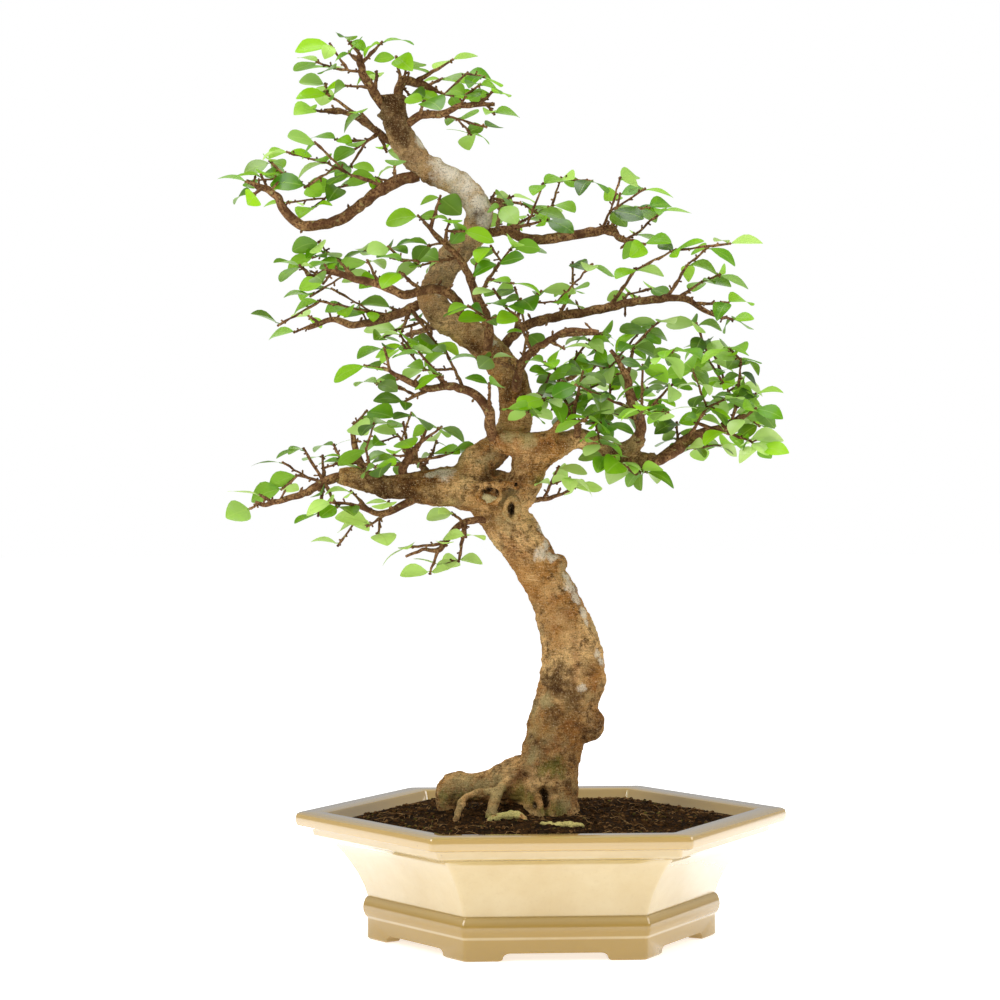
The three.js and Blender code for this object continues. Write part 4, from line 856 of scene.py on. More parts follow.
def barkMaterial():
    material, shader = newMaterial("bark", Roughness=0.9, Specular_IOR_Level=0.06)
    colours = {name: colour(*shades) for name, shades in barkColours.items()}
    mottle = noiseOf(170, 5, 0.65, 0.3)
    wrinkles = noiseOf(1, 5, 0.65, 1, (75, 75, 620))
    streaks = noiseOf(1, 4, 0.7, 0.6, (120, 120, 1500))
    grain = noiseOf(820, 4, 0.75)
    flecks = noiseOf(380, 4, 0.7, 0.4)
    edgeNoise = noiseOf(110, 5, 0.7)
    restless = ramp(noiseOf(30, 3, 0.6, 0.6), 0.62, 0.42)  # where the bark is broken up
    # dark crust, with painted shade in some patches, broken up by the mottle
    crustAndShade = times(nearPatches(barkPatches["crustAndShade"], edgeNoise, 0.9), ramp(mottle, 0.3, 0.6))
    lichen = nearPatches(barkPatches["lichen"], noiseOf(130, 5, 0.75), 0.5)
    layers = [
        (ramp(noiseOf(26, 4, 0.55, 0.3), 0.4, 0.6), 1, "pale"),
        (ramp(noiseOf(38, 5, 0.65, 0.5), 0.5, 0.64), 0.55, "reddish"),
        (times(ramp(mottle, 0.52, 0.38), restless), 0.85, "dark"),
        (times(ramp(flecks, 0.46, 0.38), restless), 0.7, "dark"),
        (ramp(streaks, 0.46, 0.38), 0.4, "dark"), (ramp(streaks, 0.56, 0.66), 0.4, "streak"),
        (ramp(wrinkles, 0.46, 0.32), 0.6, "dark"),
        (ramp(noiseOf(46, 5, 0.65), 0.56, 0.66), 0.45, "dark"),
        (ramp(noiseOf(34, 3, 0.6), 0.52, 0.66), 0.5, "grey"),
        # painted top light, with the paler bark up high: lighter from 460 mm up
        (ramp(axesOf(objectPlace)[2], 0.46, 0.54), 0.35, "high"),
    ]
    for patches, softness, share, name in barkLayers:
        layers.append((nearPatches(barkPatches[patches], edgeNoise, softness), share, name))
    layers += [
        (crustAndShade, 0.85, "crustAndShade"), (times(lichen, ramp(grain, 0.3, 0.5)), 0.8, "lichen"),
        (nearPatches(barkPatches["moss"], edgeNoise, 0.7), 0.55, "moss"),
        (nearPatches(barkPatches["hump"], edgeNoise), 0.8, "hump"),
        # painted shade in the hollows
        (nearPatches(barkPatches["deep"], edgeNoise, 0.5), 0.94, "deep"),
        (nearPatches(barkPatches["cut"], edgeNoise), 0.8, "wood"),
        (ramp(grain, 0.48, 0.38), 0.5, "crustAndShade"), (ramp(grain, 0.56, 0.66), 0.45, "grain"),
        (ramp(cellsOf(340, "Distance"), 0.2, 0.1), 0.7, "crustAndShade"),
        (ramp(cellsOf(290, "Distance"), 0.17, 0.085), 0.4, "dot"),
    ]
    base = colours["mid"]
    for where, share, name in layers:
        base = tinted(base, where, share, colours[name])
    height = plus(mottle, times(wrinkles, 0.8))
    for relief, share in ((flecks, 0.6), (grain, 0.3), (crustAndShade, 0.4)):
        height = plus(height, times(relief, share))
    finishWith(shader, base, height, 0.9, 0.0022)
    return material


def lump(at, size):
    bpy.ops.mesh.primitive_uv_sphere_add(segments=20, ring_count=12, radius=1, location=at)
    thing = bpy.context.active_object
    thing.scale = size
    bpy.ops.object.transform_apply(location=True, rotation=True, scale=True)
    return thing


def ringRidge(at, facing, radius, thickness, stretch=1):
    # A rounded ridge of healed bark round an old cut
    bpy.ops.mesh.primitive_torus_add(
        major_radius=radius, minor_radius=thickness, major_segments=32, minor_segments=10,
    )
    thing = bpy.context.active_object
    turn = Vector(facing).to_track_quat("Z", "Y").to_matrix().to_4x4()
    scale = Matrix.Diagonal((1, stretch, 1, 1))
    thing.data.transform(Matrix.Translation(at) @ turn @ scale)
    return thing


def gapWedge():
    # The three-cornered gap that one sees through at the fork
    return extrudedOutline("wedge", [(x, -40, z) for x, z in ((-26.5, 393), (-25, 379.5), (-41, 382.5))], 80)


def fuse(thing):
    applyModifier(thing, "REMESH", mode="VOXEL", voxel_size=bark["voxel"], use_smooth_shade=True)


def roughen(thing, name, size, depth, height, middle):
    texture = bpy.data.textures.new(name, "CLOUDS")
    texture.noise_scale = size
    texture.noise_depth = depth
    applyModifier(thing, "DISPLACE", texture=texture, strength=height, mid_level=middle)


def makeTrunk():
    parts = [roundTubes("limb", [route], 4) for route in limbs.values()]
    parts += [lump(*swelling) for swelling in swellings]
    parts.append(roundTubes("arch", [[  # a bent green root that shows at the surface
        [-45, -54, 95, 2.6], [-43, -54, 100.5, 3.3], [-36, -52, 104, 3.8], [-28, -51, 105.4, 4],
        [-20, -52, 104.6, 3.7], [-14, -57, 101.5, 3.1], [-11, -62, 96, 2.4],
    ]], 3))
    parts.append(ringRidge((-43, -23.8, 362.5), (-0.1, -1, 0.15), 9, 2.9, 0.74))
    parts.append(roundTubes("lip", [[  # the fold of bark over the old cut
        [-56, -16, 372, 2], [-49, -21, 371.5, 2.4], [-41, -23, 371.6, 2.3], [-33, -22, 370.5, 2.2],
        [-27, -19, 372.5, 1.8],
    ]], 3))
    parts.append(ringRidge((-25, -21.6, 351), (0.1, -1, 0.05), 5.4, 2.2, 1.6))
    parts.append(ringRidge((-21.5, -16.8, 371), (0.2, -1, 0.1), 3.6, 1.6))
    for height, reach in ((686, 9.2), (678, 9.2), (670, 11)):
        parts.append(ringRidge((-122, 0, height), (0.1, 0, 1), reach, 1.8))
    parts.append(ringRidge((10, -12, 408.5), (1, -0.2, 0.3), 7.6, 1.6))
    trunk = joinAll(parts)
    fuse(trunk)
    cutAway(trunk, joinAll([
        lump((-25, -22, 351), (3.5, 12, 6.8)), lump((-42.5, -28, 364.2), (7.6, 11, 5.6)),
        lump((-42, -24, 377.5), (7.4, 14, 3.4)), lump((-33, -22, 378.5), (6, 14, 4)),
        lump((1, -33, 116), (7.5, 13, 11)), lump((-21.5, -19, 371), (1.9, 6, 1.9)),
        gapWedge(),
    ]))
    trunk = joinAll([
        trunk,
        lump((-43.8, -20.6, 360.6), (5.6, 4.8, 4)),  # the old cut's own wood
        roundTubes("legs", [  # small green legs in the hollow of the foot
            [[-4, -18, 126, 3.4], [-3, -28, 116, 2.8], [-1, -32, 108, 2.6], [-1, -33, 94, 3.2]],
            [[5, -18, 125, 3], [9, -29, 116, 2.4], [9, -33, 109, 2.6], [6, -33, 94, 3.2]],
        ], 3),
    ])
    fuse(trunk)
    applyModifier(trunk, "SMOOTH", factor=0.5, iterations=3)
    roughen(trunk, "barkLumps", bark["lumpSize"], 2, bark["lumpHeight"], 0.48)
    roughen(trunk, "barkRough", bark["roughSize"], 4, bark["roughHeight"], 0.5)
    bpy.ops.object.shade_smooth()
    return setDown(trunk, "trunk_bark", treeFrame, barkMaterial(), "bark", "trunk")


print("Trunk")
makeTrunk()


# Twigs: the thin wood of each spray, knobby, with short bare spurs

twigWood = {
    "step": 5,  # millimetres between the rings of a twig
    "waver": 0.5,
    "paleColour": colour(172, 130, 84),
    "darkColour": colour(84, 52, 30),
    "lichenColour": colour(170, 158, 100),
}


def twigMaterial():
    material, shader = newMaterial("twigBark", Roughness=0.75, Specular_IOR_Level=0.15)
    fine = noiseOf(520, 5, 0.7)
    base = tinted(twigWood["darkColour"], ramp(noiseOf(90, 4, 0.6), 0.35, 0.68), 1, twigWood["paleColour"])
    base = tinted(base, ramp(fine, 0.56, 0.42), 1, twigWood["darkColour"])
    base = tinted(base, ramp(noiseOf(210, 3), 0.62, 0.7), 0.6, twigWood["lichenColour"])
    finishWith(shader, base, fine, 0.7, 0.0008)
    return material


def knobbyRoute(points, random):
    # The same route with closer points that waver a little and swell at the buds
    route = []
    steps = []
    for one, two in zip(points, points[1:]):
        count = max(1, round((Vector(two[:3]) - Vector(one[:3])).length / twigWood["step"]))
        steps += [(one, two, step / count) for step in range(count)]
    steps.append((points[-2], points[-1], 1))
    for number, (one, two, share) in enumerate(steps):
        place = Vector(one[:3]).lerp(Vector(two[:3]), share)
        radius = one[3] + (two[3] - one[3]) * share
        inner = 0 < number < len(steps) - 1
        waver = twigWood["waver"] * (1 if inner else 0)
        place += Vector((random() - 0.5, random() - 0.5, random() - 0.5)) * 2 * waver
        bulge = 0.1 + 0.3 * clamp((2.4 - radius) / 1.4)  # thick wood is smoother
        swell = 1 + bulge * (random() if random() < 0.45 else -0.3)
        route.append([*place, radius * (swell if inner else 1)])
    return route


def keepInside(thing, margin=0.0003):
    # The highest leaves just touch the top of the box that the part holds
    for vertex in thing.data.vertices:
        for axis in range(3):
            vertex.co[axis] = clamp(vertex.co[axis], cadBox[0][axis] + margin, cadBox[1][axis] - margin)
    return thing


def budSpur(start, heading, length, radius):
    end = start + heading * length
    return [
        [*start, radius], [*start.lerp(end, 0.55), radius * 0.8], [*start.lerp(end, 0.8), radius * 1.1],
        [*end, radius * 0.25],
    ]


def smoothStem(points):
    # A stem's points with one more between each two, on a curve through them all
    centres = [Vector(point[:3]) for point in points]
    route = []
    for index in range(len(points) - 1):
        before = centres[max(index - 1, 0)]
        after = centres[min(index + 2, len(points) - 1)]
        one, two = centres[index], centres[index + 1]
        middle = (one + two) * 0.5625 - (before + after) * 0.0625
        route.append(points[index])
        route.append([*middle, (points[index][3] + points[index + 1][3]) / 2])
    route.append(points[-1])
    return route


def sprayWood(name, owner, material):
    stem = sprays[name][1]
    random = seeded(owner * 131 + 7)
    thick = [knobbyRoute(smoothStem(stem), random)]
    thin = []
    for twig in twigs:
        if twig["owner"] != owner:
            continue
        start = [*twig["start"], twig["radius"] * 1.15]
        end = [*twig["end"], growth["twigTipRadius"]]
        thin.append(knobbyRoute([start, end], random))
        thin.append(budSpur(twig["end"] - twig["heading"], twig["heading"], 3.6, 1.2))
        side = twig["heading"].orthogonal().normalized()
        for share, length in ((0.3, 5), (0.55, 4), (0.9, 3.4), (1, 3)):
            side.rotate(Matrix.Rotation(1.6 + 1.6 * random(), 3, twig["heading"]))
            place = twig["start"].lerp(twig["end"], share - 0.12 * random())
            heading = (side + twig["heading"] * (0.3 + 0.8 * random())).normalized()
            thin.append(budSpur(place, heading, length * (0.6 + 0.5 * random()), 0.85))
    for one, two in zip(stem[2:], stem[3:]):
        start = Vector(one[:3]).lerp(Vector(two[:3]), random())
        out = Vector((random() - 0.5, random() - 0.5, random() - 0.2)).normalized()
        thin.append(budSpur(start, out, one[3] + 3 + 5 * random(), 1.1))
    made = joinAll([roundTubes("stem", thick, 3), roundTubes("twigs", thin, 1, smooth=False)])
    bpy.ops.object.shade_smooth()
    return keepInside(setDown(made, name.replace("spray_", "twigs_"), treeFrame, material, "bark", name))


# Leaves: obovate blades, folded at the rib, with curved tips

leafForm = {
    "rows": (0.08, 0.17, 0.3, 0.46, 0.62, 0.76, 0.87, 0.945, 0.985),  # along the leaf
    "broad": (0.06, 0.35, 0.66, 0.9, 1, 0.94, 0.75, 0.5, 0.25),  # half widths of a blunt leaf at the rows
    "slim": (0.06, 0.38, 0.72, 0.95, 0.98, 0.82, 0.54, 0.27, 0.1),  # and of a pointed one
    "columns": (-1, -0.5, 0, 0.5, 1),
    "fold": (-0.04, 0.46),  # least, and how much more it may be by chance
    "arch": (0.1, 0.24),
    "smallArch": (0.1, 0.38),
    "wave": (0.015, 0.03),
    "pointed": (0.3, 0.7),
    "light": 0.04,
    "lightVaries": 0.8,
    "stalkRadius": 0.55,
    "throughShare": 0.3,  # how much of the light comes through
    "dark": (18, 60, 12), "middle": (80, 142, 4), "bright": (164, 220, 34), "pale": (214, 242, 150),
    "vein": (170, 200, 100), "under": (148, 184, 96), "glow": (190, 240, 40),
}


def leafMesh(leaf, number, points, faces, uvs, tones):
    random = seeded(number * 7 + 5)
    bends = ("fold", "arch" if leaf["order"] == 0 else "smallArch", "wave", "pointed")
    fold, arch, wave, pointed = (leafForm[name][0] + leafForm[name][1] * random() for name in bends)
    skew = (random() - 0.5) * 0.12
    phase = random() * math.tau
    tone = leafTone(leaf, random)
    half = leaf["width"] / 2
    base = len(points)
    corners = []

    def place(share, side):
        edge = abs(side)
        rise = fold * half * edge * (0.5 + 0.5 * edge)
        rise += wave * half * edge * math.sin(share * 8 + phase + (2 if side > 0 else 0))
        drop = arch * (share ** 2 + 1.4 * max(share - 0.6, 0) ** 2) * leaf["length"]
        along = share - 0.3 * arch * share ** 2
        return leafPoint(leaf, along, side + skew * math.sin(share * 3), rise - drop)

    def addFace(*numbers):
        faces.append(tuple(base + number for number in numbers))
        uvs.append([corners[number] for number in numbers])
        tones.append((*tone, 0))

    for share, broad, slim in zip(leafForm["rows"], leafForm["broad"], leafForm["slim"]):
        width = broad + (slim - broad) * pointed
        for side in leafForm["columns"]:
            points.append(place(share, side * width))
            corners.append((0.5 + side / 2 * width, share))
    points.append(place(1, 0))
    corners.append((0.5, 1))
    across = len(leafForm["columns"])
    tip = len(corners) - 1
    for row in range(0, tip - across, across):
        for one in range(row, row + across - 1):
            addFace(one, one + across, one + across + 1, one + 1)
    for one in range(tip - across, tip - 1):
        addFace(one, tip, one + 1)

    # The stalk, from inside the twig to the blade
    start = leaf["root"] - leaf["twig"]["heading"] * 1.2
    for centre, radius in ((start, leafForm["stalkRadius"]), (place(0.16, 0), leafForm["stalkRadius"] * 0.7)):
        for corner in range(4):
            angle = math.tau * corner / 4
            offset = leaf["across"] * math.cos(angle) + leaf["up"] * math.sin(angle)
            points.append(centre + offset * radius)
            corners.append((0.5, 0.1))
    for corner in range(tip + 1, tip + 5):
        after = corner + 1 if corner < tip + 4 else tip + 1
        addFace(corner, after, after + 4, corner + 4)
    addFace(tip + 5, tip + 6, tip + 7, tip + 8)


def leafTone(leaf, random):
    # Lightness from dark to bright, and how pale: at random, a little lighter higher up, and lighter and
    # paler on the hanging and low sprays
    draw = random()
    name = sprayNames[leaf["owner"]]
    heightShare = clamp((leaf["root"].z - 400) / 300)
    light = leafForm["light"] + leafForm["lightVaries"] * draw + 0.12 * heightShare
    pale = random()
    if name.startswith("spray_pad"):
        light = 1.1 * random() - 0.16
        pale += 0.08
    if name in ("spray_hanging", "spray_low_under", "spray_fork_right"):
        light += 0.45
        pale = 0.9 + 0.1 * pale
    return clamp(light), pale


def leafMaterial():
    material, shader = newMaterial("leaf", Roughness=0.32, Specular_IOR_Level=0.45)
    tone = addNode("Attribute", attribute_name="leafTone").outputs["Color"]
    parts = addNode("SeparateColor", {"Color": tone}).outputs
    light, pale = parts["Red"], parts["Green"]
    under = addNode("NewGeometry").outputs["Backfacing"]
    x, y, z = axesOf(addNode("UVMap", uv_map="leafMap").outputs["UV"])
    side = combine("ABSOLUTE", minus(x, 0.5))
    veins = ramp(combine("SINE", times(minus(y, times(side, 0.55)), 62)), 0.9, 1)
    lines = combine("MAXIMUM", ramp(side, 0.035, 0.012), times(veins, 0.2))
    patchy = noiseOf(60, 2, 0.5)
    base = colour(*leafForm["dark"])
    for share, weight, tint in (
        (ramp(light, 0.1, 0.55), 1, "middle"), (ramp(light, 0.5, 1), 1, "bright"),
        (ramp(pale, 0.72, 0.95), 0.75, "pale"), (ramp(patchy, 0.5, 0.75), 0.25, "bright"),
        (lines, 0.35, "vein"), (under, 0.35, "under"),
    ):
        base = tinted(base, share, weight, colour(*leafForm[tint]))
    gloss = minus(0.75, times(ramp(light, 0.1, 0.6), 0.45))
    nodeTree.links.new(minus(gloss, times(under, 0.25)), shader.inputs["Specular IOR Level"])
    finishWith(shader, base, plus(lines, times(patchy, 0.8)), 0.35, 0.0004)
    glow = addNode("BsdfTranslucent", {"Color": tinted(base, 0.4, 1, colour(*leafForm["glow"]))})
    mixer = addNode("MixShader", {0: leafForm["throughShare"], 1: shader.outputs[0], 2: glow.outputs[0]})
    nodeTree.links.new(mixer.outputs[0], nodeTree.nodes["Material Output"].inputs["Surface"])
    return material


def sprayLeaves(name, owner, material):
    points, faces, uvs, tones = [], [], [], []
    for number, leaf in enumerate(leaves):
        if leaf["owner"] == owner:
            leafMesh(leaf, number, points, faces, uvs, tones)
    made = newMesh(name, points, faces)
    made.data.uv_layers.new(name="leafMap")
    made.data.color_attributes.new("leafTone", "FLOAT_COLOR", "CORNER")
    layer = made.data.uv_layers["leafMap"].data  # looked up once both are there
    tone = made.data.color_attributes["leafTone"].data
    for polygon in made.data.polygons:
        for number, corner in enumerate(polygon.loop_indices):
            layer[corner].uv = uvs[polygon.index][number]
            tone[corner].color = (*tones[polygon.index], 1)
    selectOnly(made)
    bpy.ops.object.shade_smooth()
    return keepInside(setDown(made, name.replace("spray_", "leaves_"), treeFrame, material, "foliage", name))


print("Twigs and leaves")
woodFinish = twigMaterial()
bladeFinish = leafMaterial()
for owner, name in enumerate(sprayNames):
    sprayWood(name, owner, woodFinish)
    sprayLeaves(name, owner, bladeFinish)


# Pot

pot = {
    "cornerRound": 2.6,
    "widen": 1.012,  # how much wider it is than deep
    "edgeRound": 0.9,
    "archHalf": 41,  # half length of a cut-out between two feet
    "archHeight": 6.3,
    "apronReach": 123,  # from the centre to the middle of a side at the feet
    "drainRadius": 10,
    "drainPlace": 62,
    "profile": [  # (corner radius, height), from under the floor up, over the rim and down inside
        (0, 10), (125, 10), (128, 0.6), (129, 0), (140.6, 0), (142, 1.4), (142, 17), (142.6, 18), (144, 19.5),
        (145.5, 23), (145.9, 26), (145.5, 29), (144, 33), (142.6, 34.6), (141.5, 35), (142.5, 36.5),
        (145, 44), (150, 54), (156, 63), (162.5, 71.5), (168.5, 77.9), (174, 81.8), (179, 84), (184, 84.6),
        (185.6, 85.6), (187, 91.2), (188.2, 92.4), (196, 92.4), (198.8, 93.6), (200, 96.6), (200, 100.2),
        (199.2, 102.8), (197, 104), (177, 104), (174.6, 103.2), (173, 100.5), (170, 90.5), (151.5, 68.5),
        (137.5, 44.5), (125.5, 24), (119.5, 18), (0, 18),
    ],
    "creamColour": colour(202, 180, 130),
    "shadeColour": colour(192, 166, 108),
    "tanColour": colour(184, 148, 70),
    "lowColour": colour(160, 127, 44),
    "brownColour": colour(150, 118, 66),
    "pitColour": colour(92, 66, 40),
}


def glazeMaterial():
    material, shader = newMaterial("creamGlaze", Roughness=0.16, Specular_IOR_Level=0.5,
                                   Coat_Weight=1, Coat_IOR=2, Coat_Roughness=0.05)
    height = axesOf(objectPlace)[2]
    facing = axesOf(addNode("NewGeometry").outputs["Normal"])[2]
    cloudy = noiseOf(22, 4, 0.6)
    fine = noiseOf(380, 3, 0.6)
    drips = plus(height, times(noiseOf(60, 2), 0.006))
    # painted highlight: a pale line along the ledge at 18 mm, where the tan band is taken off
    ledgeHighlight = ramp(combine("ABSOLUTE", minus(height, 0.018)), 0.0016, 0.0006)
    lowBand = minus(ramp(height, 0.0362, 0.0345), times(ledgeHighlight, 0.75))
    rimBand = times(ramp(height, 0.0909, 0.0922), ramp(facing, 0.75, 0.35))
    bands = combine("MAXIMUM", rimBand, times(ramp(drips, 0.088, 0.09), 0.35))
    base = pot["creamColour"]
    for share, weight, tint in (
        (ramp(cloudy, 0.3, 0.7), 1, "shadeColour"), (ramp(height, 0.1, 0.103), 0.45, "tanColour"),
        (bands, 0.9, "tanColour"), (lowBand, 0.9, "lowColour"),
        # painted light: the belt's upper slope is lightened towards cream
        (times(ramp(height, 0.0285, 0.032), lowBand), 0.4, "creamColour"),
        (ramp(fine, 0.55, 0.75), 0.12, "brownColour"),
        (ramp(cellsOf(52, "Distance"), 0.035, 0.018), 0.7, "pitColour"),
    ):
        base = tinted(base, share, weight, pot[tint])
    nodeTree.links.new(minus(1, times(lowBand, 0.6)), shader.inputs["Coat Weight"])
    finishWith(shader, base, plus(times(cloudy, 0.6), times(fine, 0.05)), 0.25, 0.0012)
    return material


def footCutter(side):
    # The S-ended gap between two feet, as a prism through one side of the apron
    half, top = pot["archHalf"], pot["archHeight"]
    right = [(half + 4, -2), (half + 4, 0)]
    for step in range(7):
        angle = math.pi / 2 * step / 6
        right.append((half + 4 - 4 * math.sin(angle), 3 * (1 - math.cos(angle)) * 0.8))
    for step in range(1, 7):
        angle = math.pi / 2 * step / 6
        right.append((half - 6 * (1 - math.cos(angle)), 2.4 + (top - 2.4) * math.sin(angle)))
    outline = right + [(-x, z) for x, z in reversed(right)]
    front = [(x, -pot["apronReach"] - 15, z) for x, z in outline]
    thing = extrudedOutline("gap", front, 40)
    thing.data.transform(Matrix.Rotation(math.pi / 3 * side, 4, "Z"))
    return thing


def makePot():
    profile = [(radius, 0, height) for radius, height in pot["profile"]]
    thing = newMesh("pot", profile, [], [(index, index + 1) for index in range(len(profile) - 1)])
    selectOnly(thing)
    bpy.ops.object.mode_set(mode="EDIT")
    bpy.ops.mesh.select_all(action="SELECT")
    bpy.ops.mesh.spin(steps=6, angle=math.tau, center=(0, 0, 0), axis=(0, 0, 1))
    bpy.ops.mesh.select_all(action="SELECT")
    bpy.ops.mesh.remove_doubles(threshold=0.01)
    bpy.ops.mesh.normals_make_consistent(inside=False)
    bpy.ops.object.mode_set(mode="OBJECT")
    mesh = thing.data
    weights = mesh.attributes.new("bevel_weight_edge", "FLOAT", "EDGE")
    for edge in mesh.edges:
        one, two = (mesh.vertices[corner].co for corner in edge.vertices)
        flat = abs(math.atan2(one.y, one.x) - math.atan2(two.y, two.x)) < 0.01
        outside = min(one.xy.length, two.xy.length) > 110
        weights.data[edge.index].value = 1 if flat and outside else 0
    applyModifier(thing, "BEVEL", limit_method="WEIGHT", width=pot["cornerRound"], segments=5,
                  offset_type="OFFSET", use_clamp_overlap=False)
    cutters = [footCutter(side) for side in range(6)]
    for place in (-pot["drainPlace"], pot["drainPlace"]):
        bpy.ops.mesh.primitive_cylinder_add(vertices=32, radius=pot["drainRadius"], depth=40,
                                            location=(place, 0, 18))
        bpy.ops.object.transform_apply(location=True)
        cutters.append(bpy.context.active_object)
    for cutter in cutters:
        cutAway(thing, cutter)
    applyModifier(thing, "BEVEL", limit_method="ANGLE", angle_limit=math.radians(50), width=pot["edgeRound"],
                  segments=3)
    thing.data.transform(Matrix.Diagonal((pot["widen"], 1, 1, 1)))
    selectOnly(thing)
    bpy.ops.object.shade_smooth_by_angle(angle=math.radians(38))
    return setDown(thing, "pot_glazed", potFrame, glazeMaterial(), "glaze", "pot")


print("Pot")
makePot()


# Soil: a low mound of peat with crumbs, fibres and bits of moss

soil = {
    "edgeHeight": 96,
    "crownHeight": 103,
    "edgeRadius": 171,  # to a corner
    "cuts": 56,
    "heaps": ((-22, -14, 20, 9), (-34, 10, 26, 5), (0, -46, 14, 1.5)),  # [x, y, reach, rise]
    "crumbs": 4200,
    "fibres": 230,
    "darkColour": colour(30, 19, 8),
    "brownColour": colour(84, 56, 28),
    "lightColour": colour(132, 98, 60),
    "fibreColour": colour(176, 140, 88),
    "darkFibreColour": colour(110, 78, 46),
    "mossColour": colour(98, 100, 44),
}


def hexagonShare(x, y):
    # 0 at the middle of the pot, 1 at the soil's edge
    reach = soil["edgeRadius"] * math.cos(math.pi / 6)
    return max(
        abs(x * math.sin(math.radians(turn)) + y * math.cos(math.radians(turn))) for turn in (0, 60, 120)
    ) / reach


def soilHeight(x, y):
    share = hexagonShare(x, y)
    mound = (soil["crownHeight"] - soil["edgeHeight"]) * (1 - share * share)
    rolling = noise.noise(Vector((x, y, 3)) * 0.028) * 2.2
    lumps = noise.noise(Vector((x, y, 9)) * 0.11) * 1.3
    grains = noise.noise(Vector((x, y, 5)) * 0.42) * 0.9
    edge = clamp((1 - share) * 12)
    for heapX, heapY, reach, rise in soil["heaps"]:
        away = clamp(math.hypot(x - heapX, y - heapY) / reach)
        mound += rise * (1 - away * away) ** 2
    return soil["edgeHeight"] + mound + (rolling + lumps + grains) * edge


def soilMaterial():
    material, shader = newMaterial("peat", Roughness=0.92, Specular_IOR_Level=0.05)
    fine = noiseOf(420, 6, 0.75)
    base = tinted(soil["darkColour"], ramp(fine, 0.42, 0.62), 1, soil["brownColour"])
    base = tinted(base, ramp(noiseOf(60, 5, 0.65), 0.6, 0.42), 1, soil["darkColour"])
    base = tinted(base, ramp(noiseOf(900, 2), 0.72, 0.76), 0.6, soil["fibreColour"])
    finishWith(shader, base, fine, 0.9, 0.002)
    return material


def crumbMaterial():
    material, shader = newMaterial("peatCrumb", Roughness=0.9, Specular_IOR_Level=0.05)
    draws = addNode("SeparateColor", {"Color": cellsOf(260, "Color")}).outputs
    base = tinted(soil["darkColour"], draws["Red"], 1, soil["brownColour"])
    base = tinted(base, ramp(draws["Green"], 0.86, 0.92), 0.7, soil["lightColour"])
    base = tinted(base, ramp(draws["Blue"], 0.95, 0.97), 0.5, soil["mossColour"])
    finishWith(shader, base, noiseOf(900), 0.6, 0.0006)
    return material


def fibreMaterial():
    material, shader = newMaterial("fibre", Roughness=0.8, Specular_IOR_Level=0.25)
    mottle = noiseOf(200, 4, 0.6)
    base = tinted(soil["fibreColour"], ramp(mottle, 0.35, 0.65), 1, soil["darkFibreColour"])
    finishWith(shader, base, mottle, 0.5, 0.0008)
    return material


def makeSoilBed():
    bpy.ops.mesh.primitive_circle_add(vertices=6, radius=soil["edgeRadius"], fill_type="NGON",
                                      location=(0, 0, soil["edgeHeight"]), rotation=(0, 0, math.pi / 6))
    bpy.ops.object.transform_apply(location=True, rotation=True)
    bed = bpy.context.active_object
    bpy.ops.object.mode_set(mode="EDIT")
    bpy.ops.mesh.select_all(action="SELECT")
    bpy.ops.mesh.poke()
    bpy.ops.mesh.subdivide(number_cuts=soil["cuts"])
    bpy.ops.mesh.select_all(action="DESELECT")
    bpy.ops.mesh.select_non_manifold()
    for drop, width in ((-27.5, 0.88), (-24, 0.9), (-19, 0.902), (-6.7, 0.95)):
        bpy.ops.mesh.extrude_edges_move(TRANSFORM_OT_translate={"value": (0, 0, drop)})
        bpy.ops.transform.resize(value=(width, width, 1))
    bpy.ops.mesh.edge_face_add()
    bpy.ops.mesh.select_all(action="SELECT")
    bpy.ops.mesh.normals_make_consistent(inside=False)
    bpy.ops.object.mode_set(mode="OBJECT")
    for vertex in bed.data.vertices:
        if vertex.co.z > soil["edgeHeight"] - 0.5:
            vertex.co.z = soilHeight(vertex.co.x, vertex.co.y)
    bpy.ops.object.shade_smooth()
    return setDown(bed, "soil_bed", potFrame, soilMaterial(), "soil", "soil")


def soilPlaces(count, random, margin=0.985):
    # Random places on the soil that keep clear of the trunk's foot
    places = []
    while len(places) < count:
        x = (random() * 2 - 1) * soil["edgeRadius"]
        y = (random() * 2 - 1) * soil["edgeRadius"]
        if hexagonShare(x, y) < margin and math.hypot(x - 4, y + 4) > 24:
            places.append(Vector((x, y, soilHeight(x, y))))
    return places


def scattered(name, shape, count, random, low, high, sink):
    # Copies of a small shape, each turned and sized at random, in one mesh
    corners = [vertex.co.copy() for vertex in shape.data.vertices]
    polygons = [tuple(polygon.vertices) for polygon in shape.data.polygons]
    bpy.data.objects.remove(shape)
    points, faces = [], []
    for place in soilPlaces(count, random):
        size = low + (high - low) * random() ** 2.2
        angle = random() * math.tau
        axis = Vector((random() - 0.5, random() - 0.5, random() - 0.5))
        turn = Matrix.Rotation(angle, 4, axis)
        shape = Matrix.Diagonal((1, 0.6 + 0.5 * random(), 0.5 + 0.4 * random(), 1)) @ turn
        base = len(points)
        points += [place + Vector((0, 0, size * sink)) + (shape @ corner) * size for corner in corners]
        faces += [tuple(base + corner for corner in polygon) for polygon in polygons]
    return newMesh(name, points, faces)


def makeCrumbs():
    bpy.ops.mesh.primitive_ico_sphere_add(subdivisions=1, radius=1)
    crumb = bpy.context.active_object
    for number, vertex in enumerate(crumb.data.vertices):
        vertex.co *= 0.75 + 0.5 * ((number * 0.618034) % 1)
    made = scattered("crumbs", crumb, soil["crumbs"], seeded(11), 0.5, 2.2, 0.15)
    return setDown(made, "soil_crumbs", potFrame, crumbMaterial(), "soil", "soil")


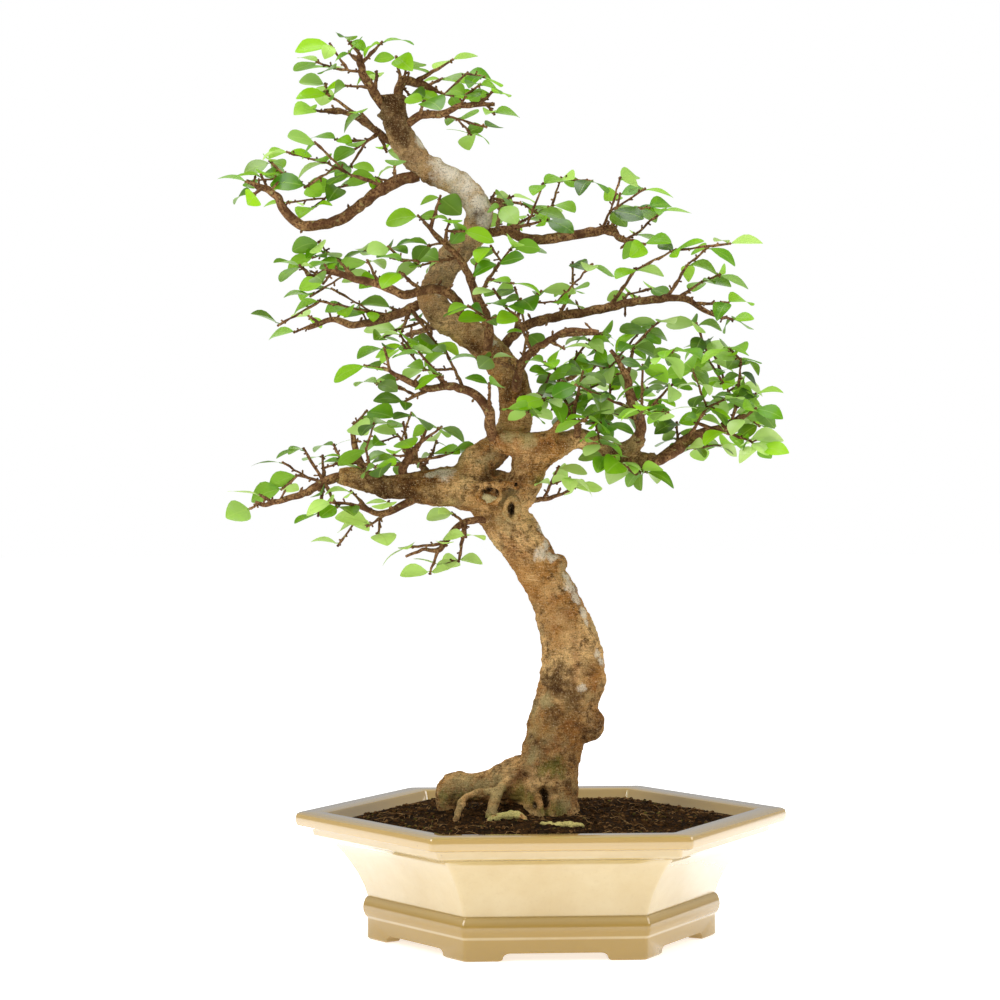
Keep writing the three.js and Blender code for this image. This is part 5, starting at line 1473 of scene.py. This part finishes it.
def makeFibres():
    random = seeded(23)
    routes = []
    for place in soilPlaces(soil["fibres"], random, 0.97):
        heading = random() * math.tau
        length = 4 + 14 * random() ** 2
        bend = (random() - 0.5) * 2
        route = []
        for step in range(5):
            share = step / 4
            angle = heading + bend * share
            spot = place + Vector((math.cos(angle), math.sin(angle), 0)) * length * (share - 0.5)
            spot.z = soilHeight(spot.x, spot.y) + 0.4 + 1.2 * math.sin(math.pi * share)
            if hexagonShare(spot.x, spot.y) > 0.98:
                break
            route.append([*spot, 0.12 + 0.14 * random()])
        if len(route) > 2:
            routes.append(route)
    made = roundTubes("fibres", routes, 0, smooth=False)
    return setDown(made, "soil_fibres", potFrame, fibreMaterial(), "soil", "soil")


print("Soil")
makeSoilBed()
makeCrumbs()
makeFibres()


# Floor, light and camera

camera = {
    "lens": 120,
    "distance": 2720.5,
    "azimuth": -4.25,
    "elevation": 1.57,
    "target": (-34.6, 0, 358),
}

studio = {
    "floorSize": 14,
    "floorGlow": 0.62,
    "backdropLight": 0.42,
    "softboxes": (  # name, place, target, size and power, in metres and watts
        ("leftSoftbox", (-1.7, -1.5, 1.6), (0, 0, 0.35), (1.2, 1.6), 26),
        ("rightSoftbox", (2, -0.5, 1.2), (0, 0, 0.3), (1.2, 1.6), 16),
        ("topSoftbox", (-0.2, 0.1, 2.4), (0, 0, 0.3), (1.6, 1.6), 34),
    ),
}


def makeCamera():
    azimuth = math.radians(camera["azimuth"])
    elevation = math.radians(camera["elevation"])
    level = math.cos(elevation)
    back = Vector((math.sin(azimuth) * level, -math.cos(azimuth) * level, math.sin(elevation)))
    target = potFrame @ Vector(camera["target"])
    data = bpy.data.cameras.new("camera")
    data.lens = camera["lens"]
    data.sensor_width = 36
    thing = addObject("camera", data)
    thing.location = target + back * camera["distance"] * 0.001
    thing.rotation_euler = back.to_track_quat("Z", "Y").to_euler()
    scene.camera = thing


def areaLight(name, place, target, size, power):
    data = bpy.data.lights.new(name, "AREA")
    data.shape = "RECTANGLE"
    data.size, data.size_y = size
    data.energy = power
    thing = addObject(name, data)
    thing.location = place
    thing.rotation_euler = (Vector(place) - Vector(target)).to_track_quat("Z", "Y").to_euler()


def makeStudio():
    bpy.ops.mesh.primitive_plane_add(size=studio["floorSize"], location=(0, 0, 0))
    floor = bpy.context.active_object
    floor.name = "floor"
    material, shader = newMaterial("paleFloor", Roughness=0.9, Base_Color=(0.95, 0.95, 0.95, 1),
                                   Emission_Color=(1, 1, 1, 1), Emission_Strength=studio["floorGlow"])
    floor.data.materials.append(material)
    world = bpy.data.worlds.new("studio")
    scene.world = world
    world.use_nodes = True
    # The backdrop is white to the camera and dimmer as a light
    nodes, links = world.node_tree.nodes, world.node_tree.links
    nodes["Background"].inputs["Color"].default_value = (1, 1, 1, 1)
    rays = nodes.new("ShaderNodeLightPath")
    strength = nodes.new("ShaderNodeMapRange")
    strength.inputs["To Min"].default_value = studio["backdropLight"]
    strength.inputs["To Max"].default_value = 1
    links.new(rays.outputs["Is Camera Ray"], strength.inputs["Value"])
    links.new(strength.outputs["Result"], nodes["Background"].inputs["Strength"])
    for softbox in studio["softboxes"]:
        areaLight(*softbox)


print("Camera, floor and light")
makeCamera()
makeStudio()
scene.view_settings.view_transform = "Standard"
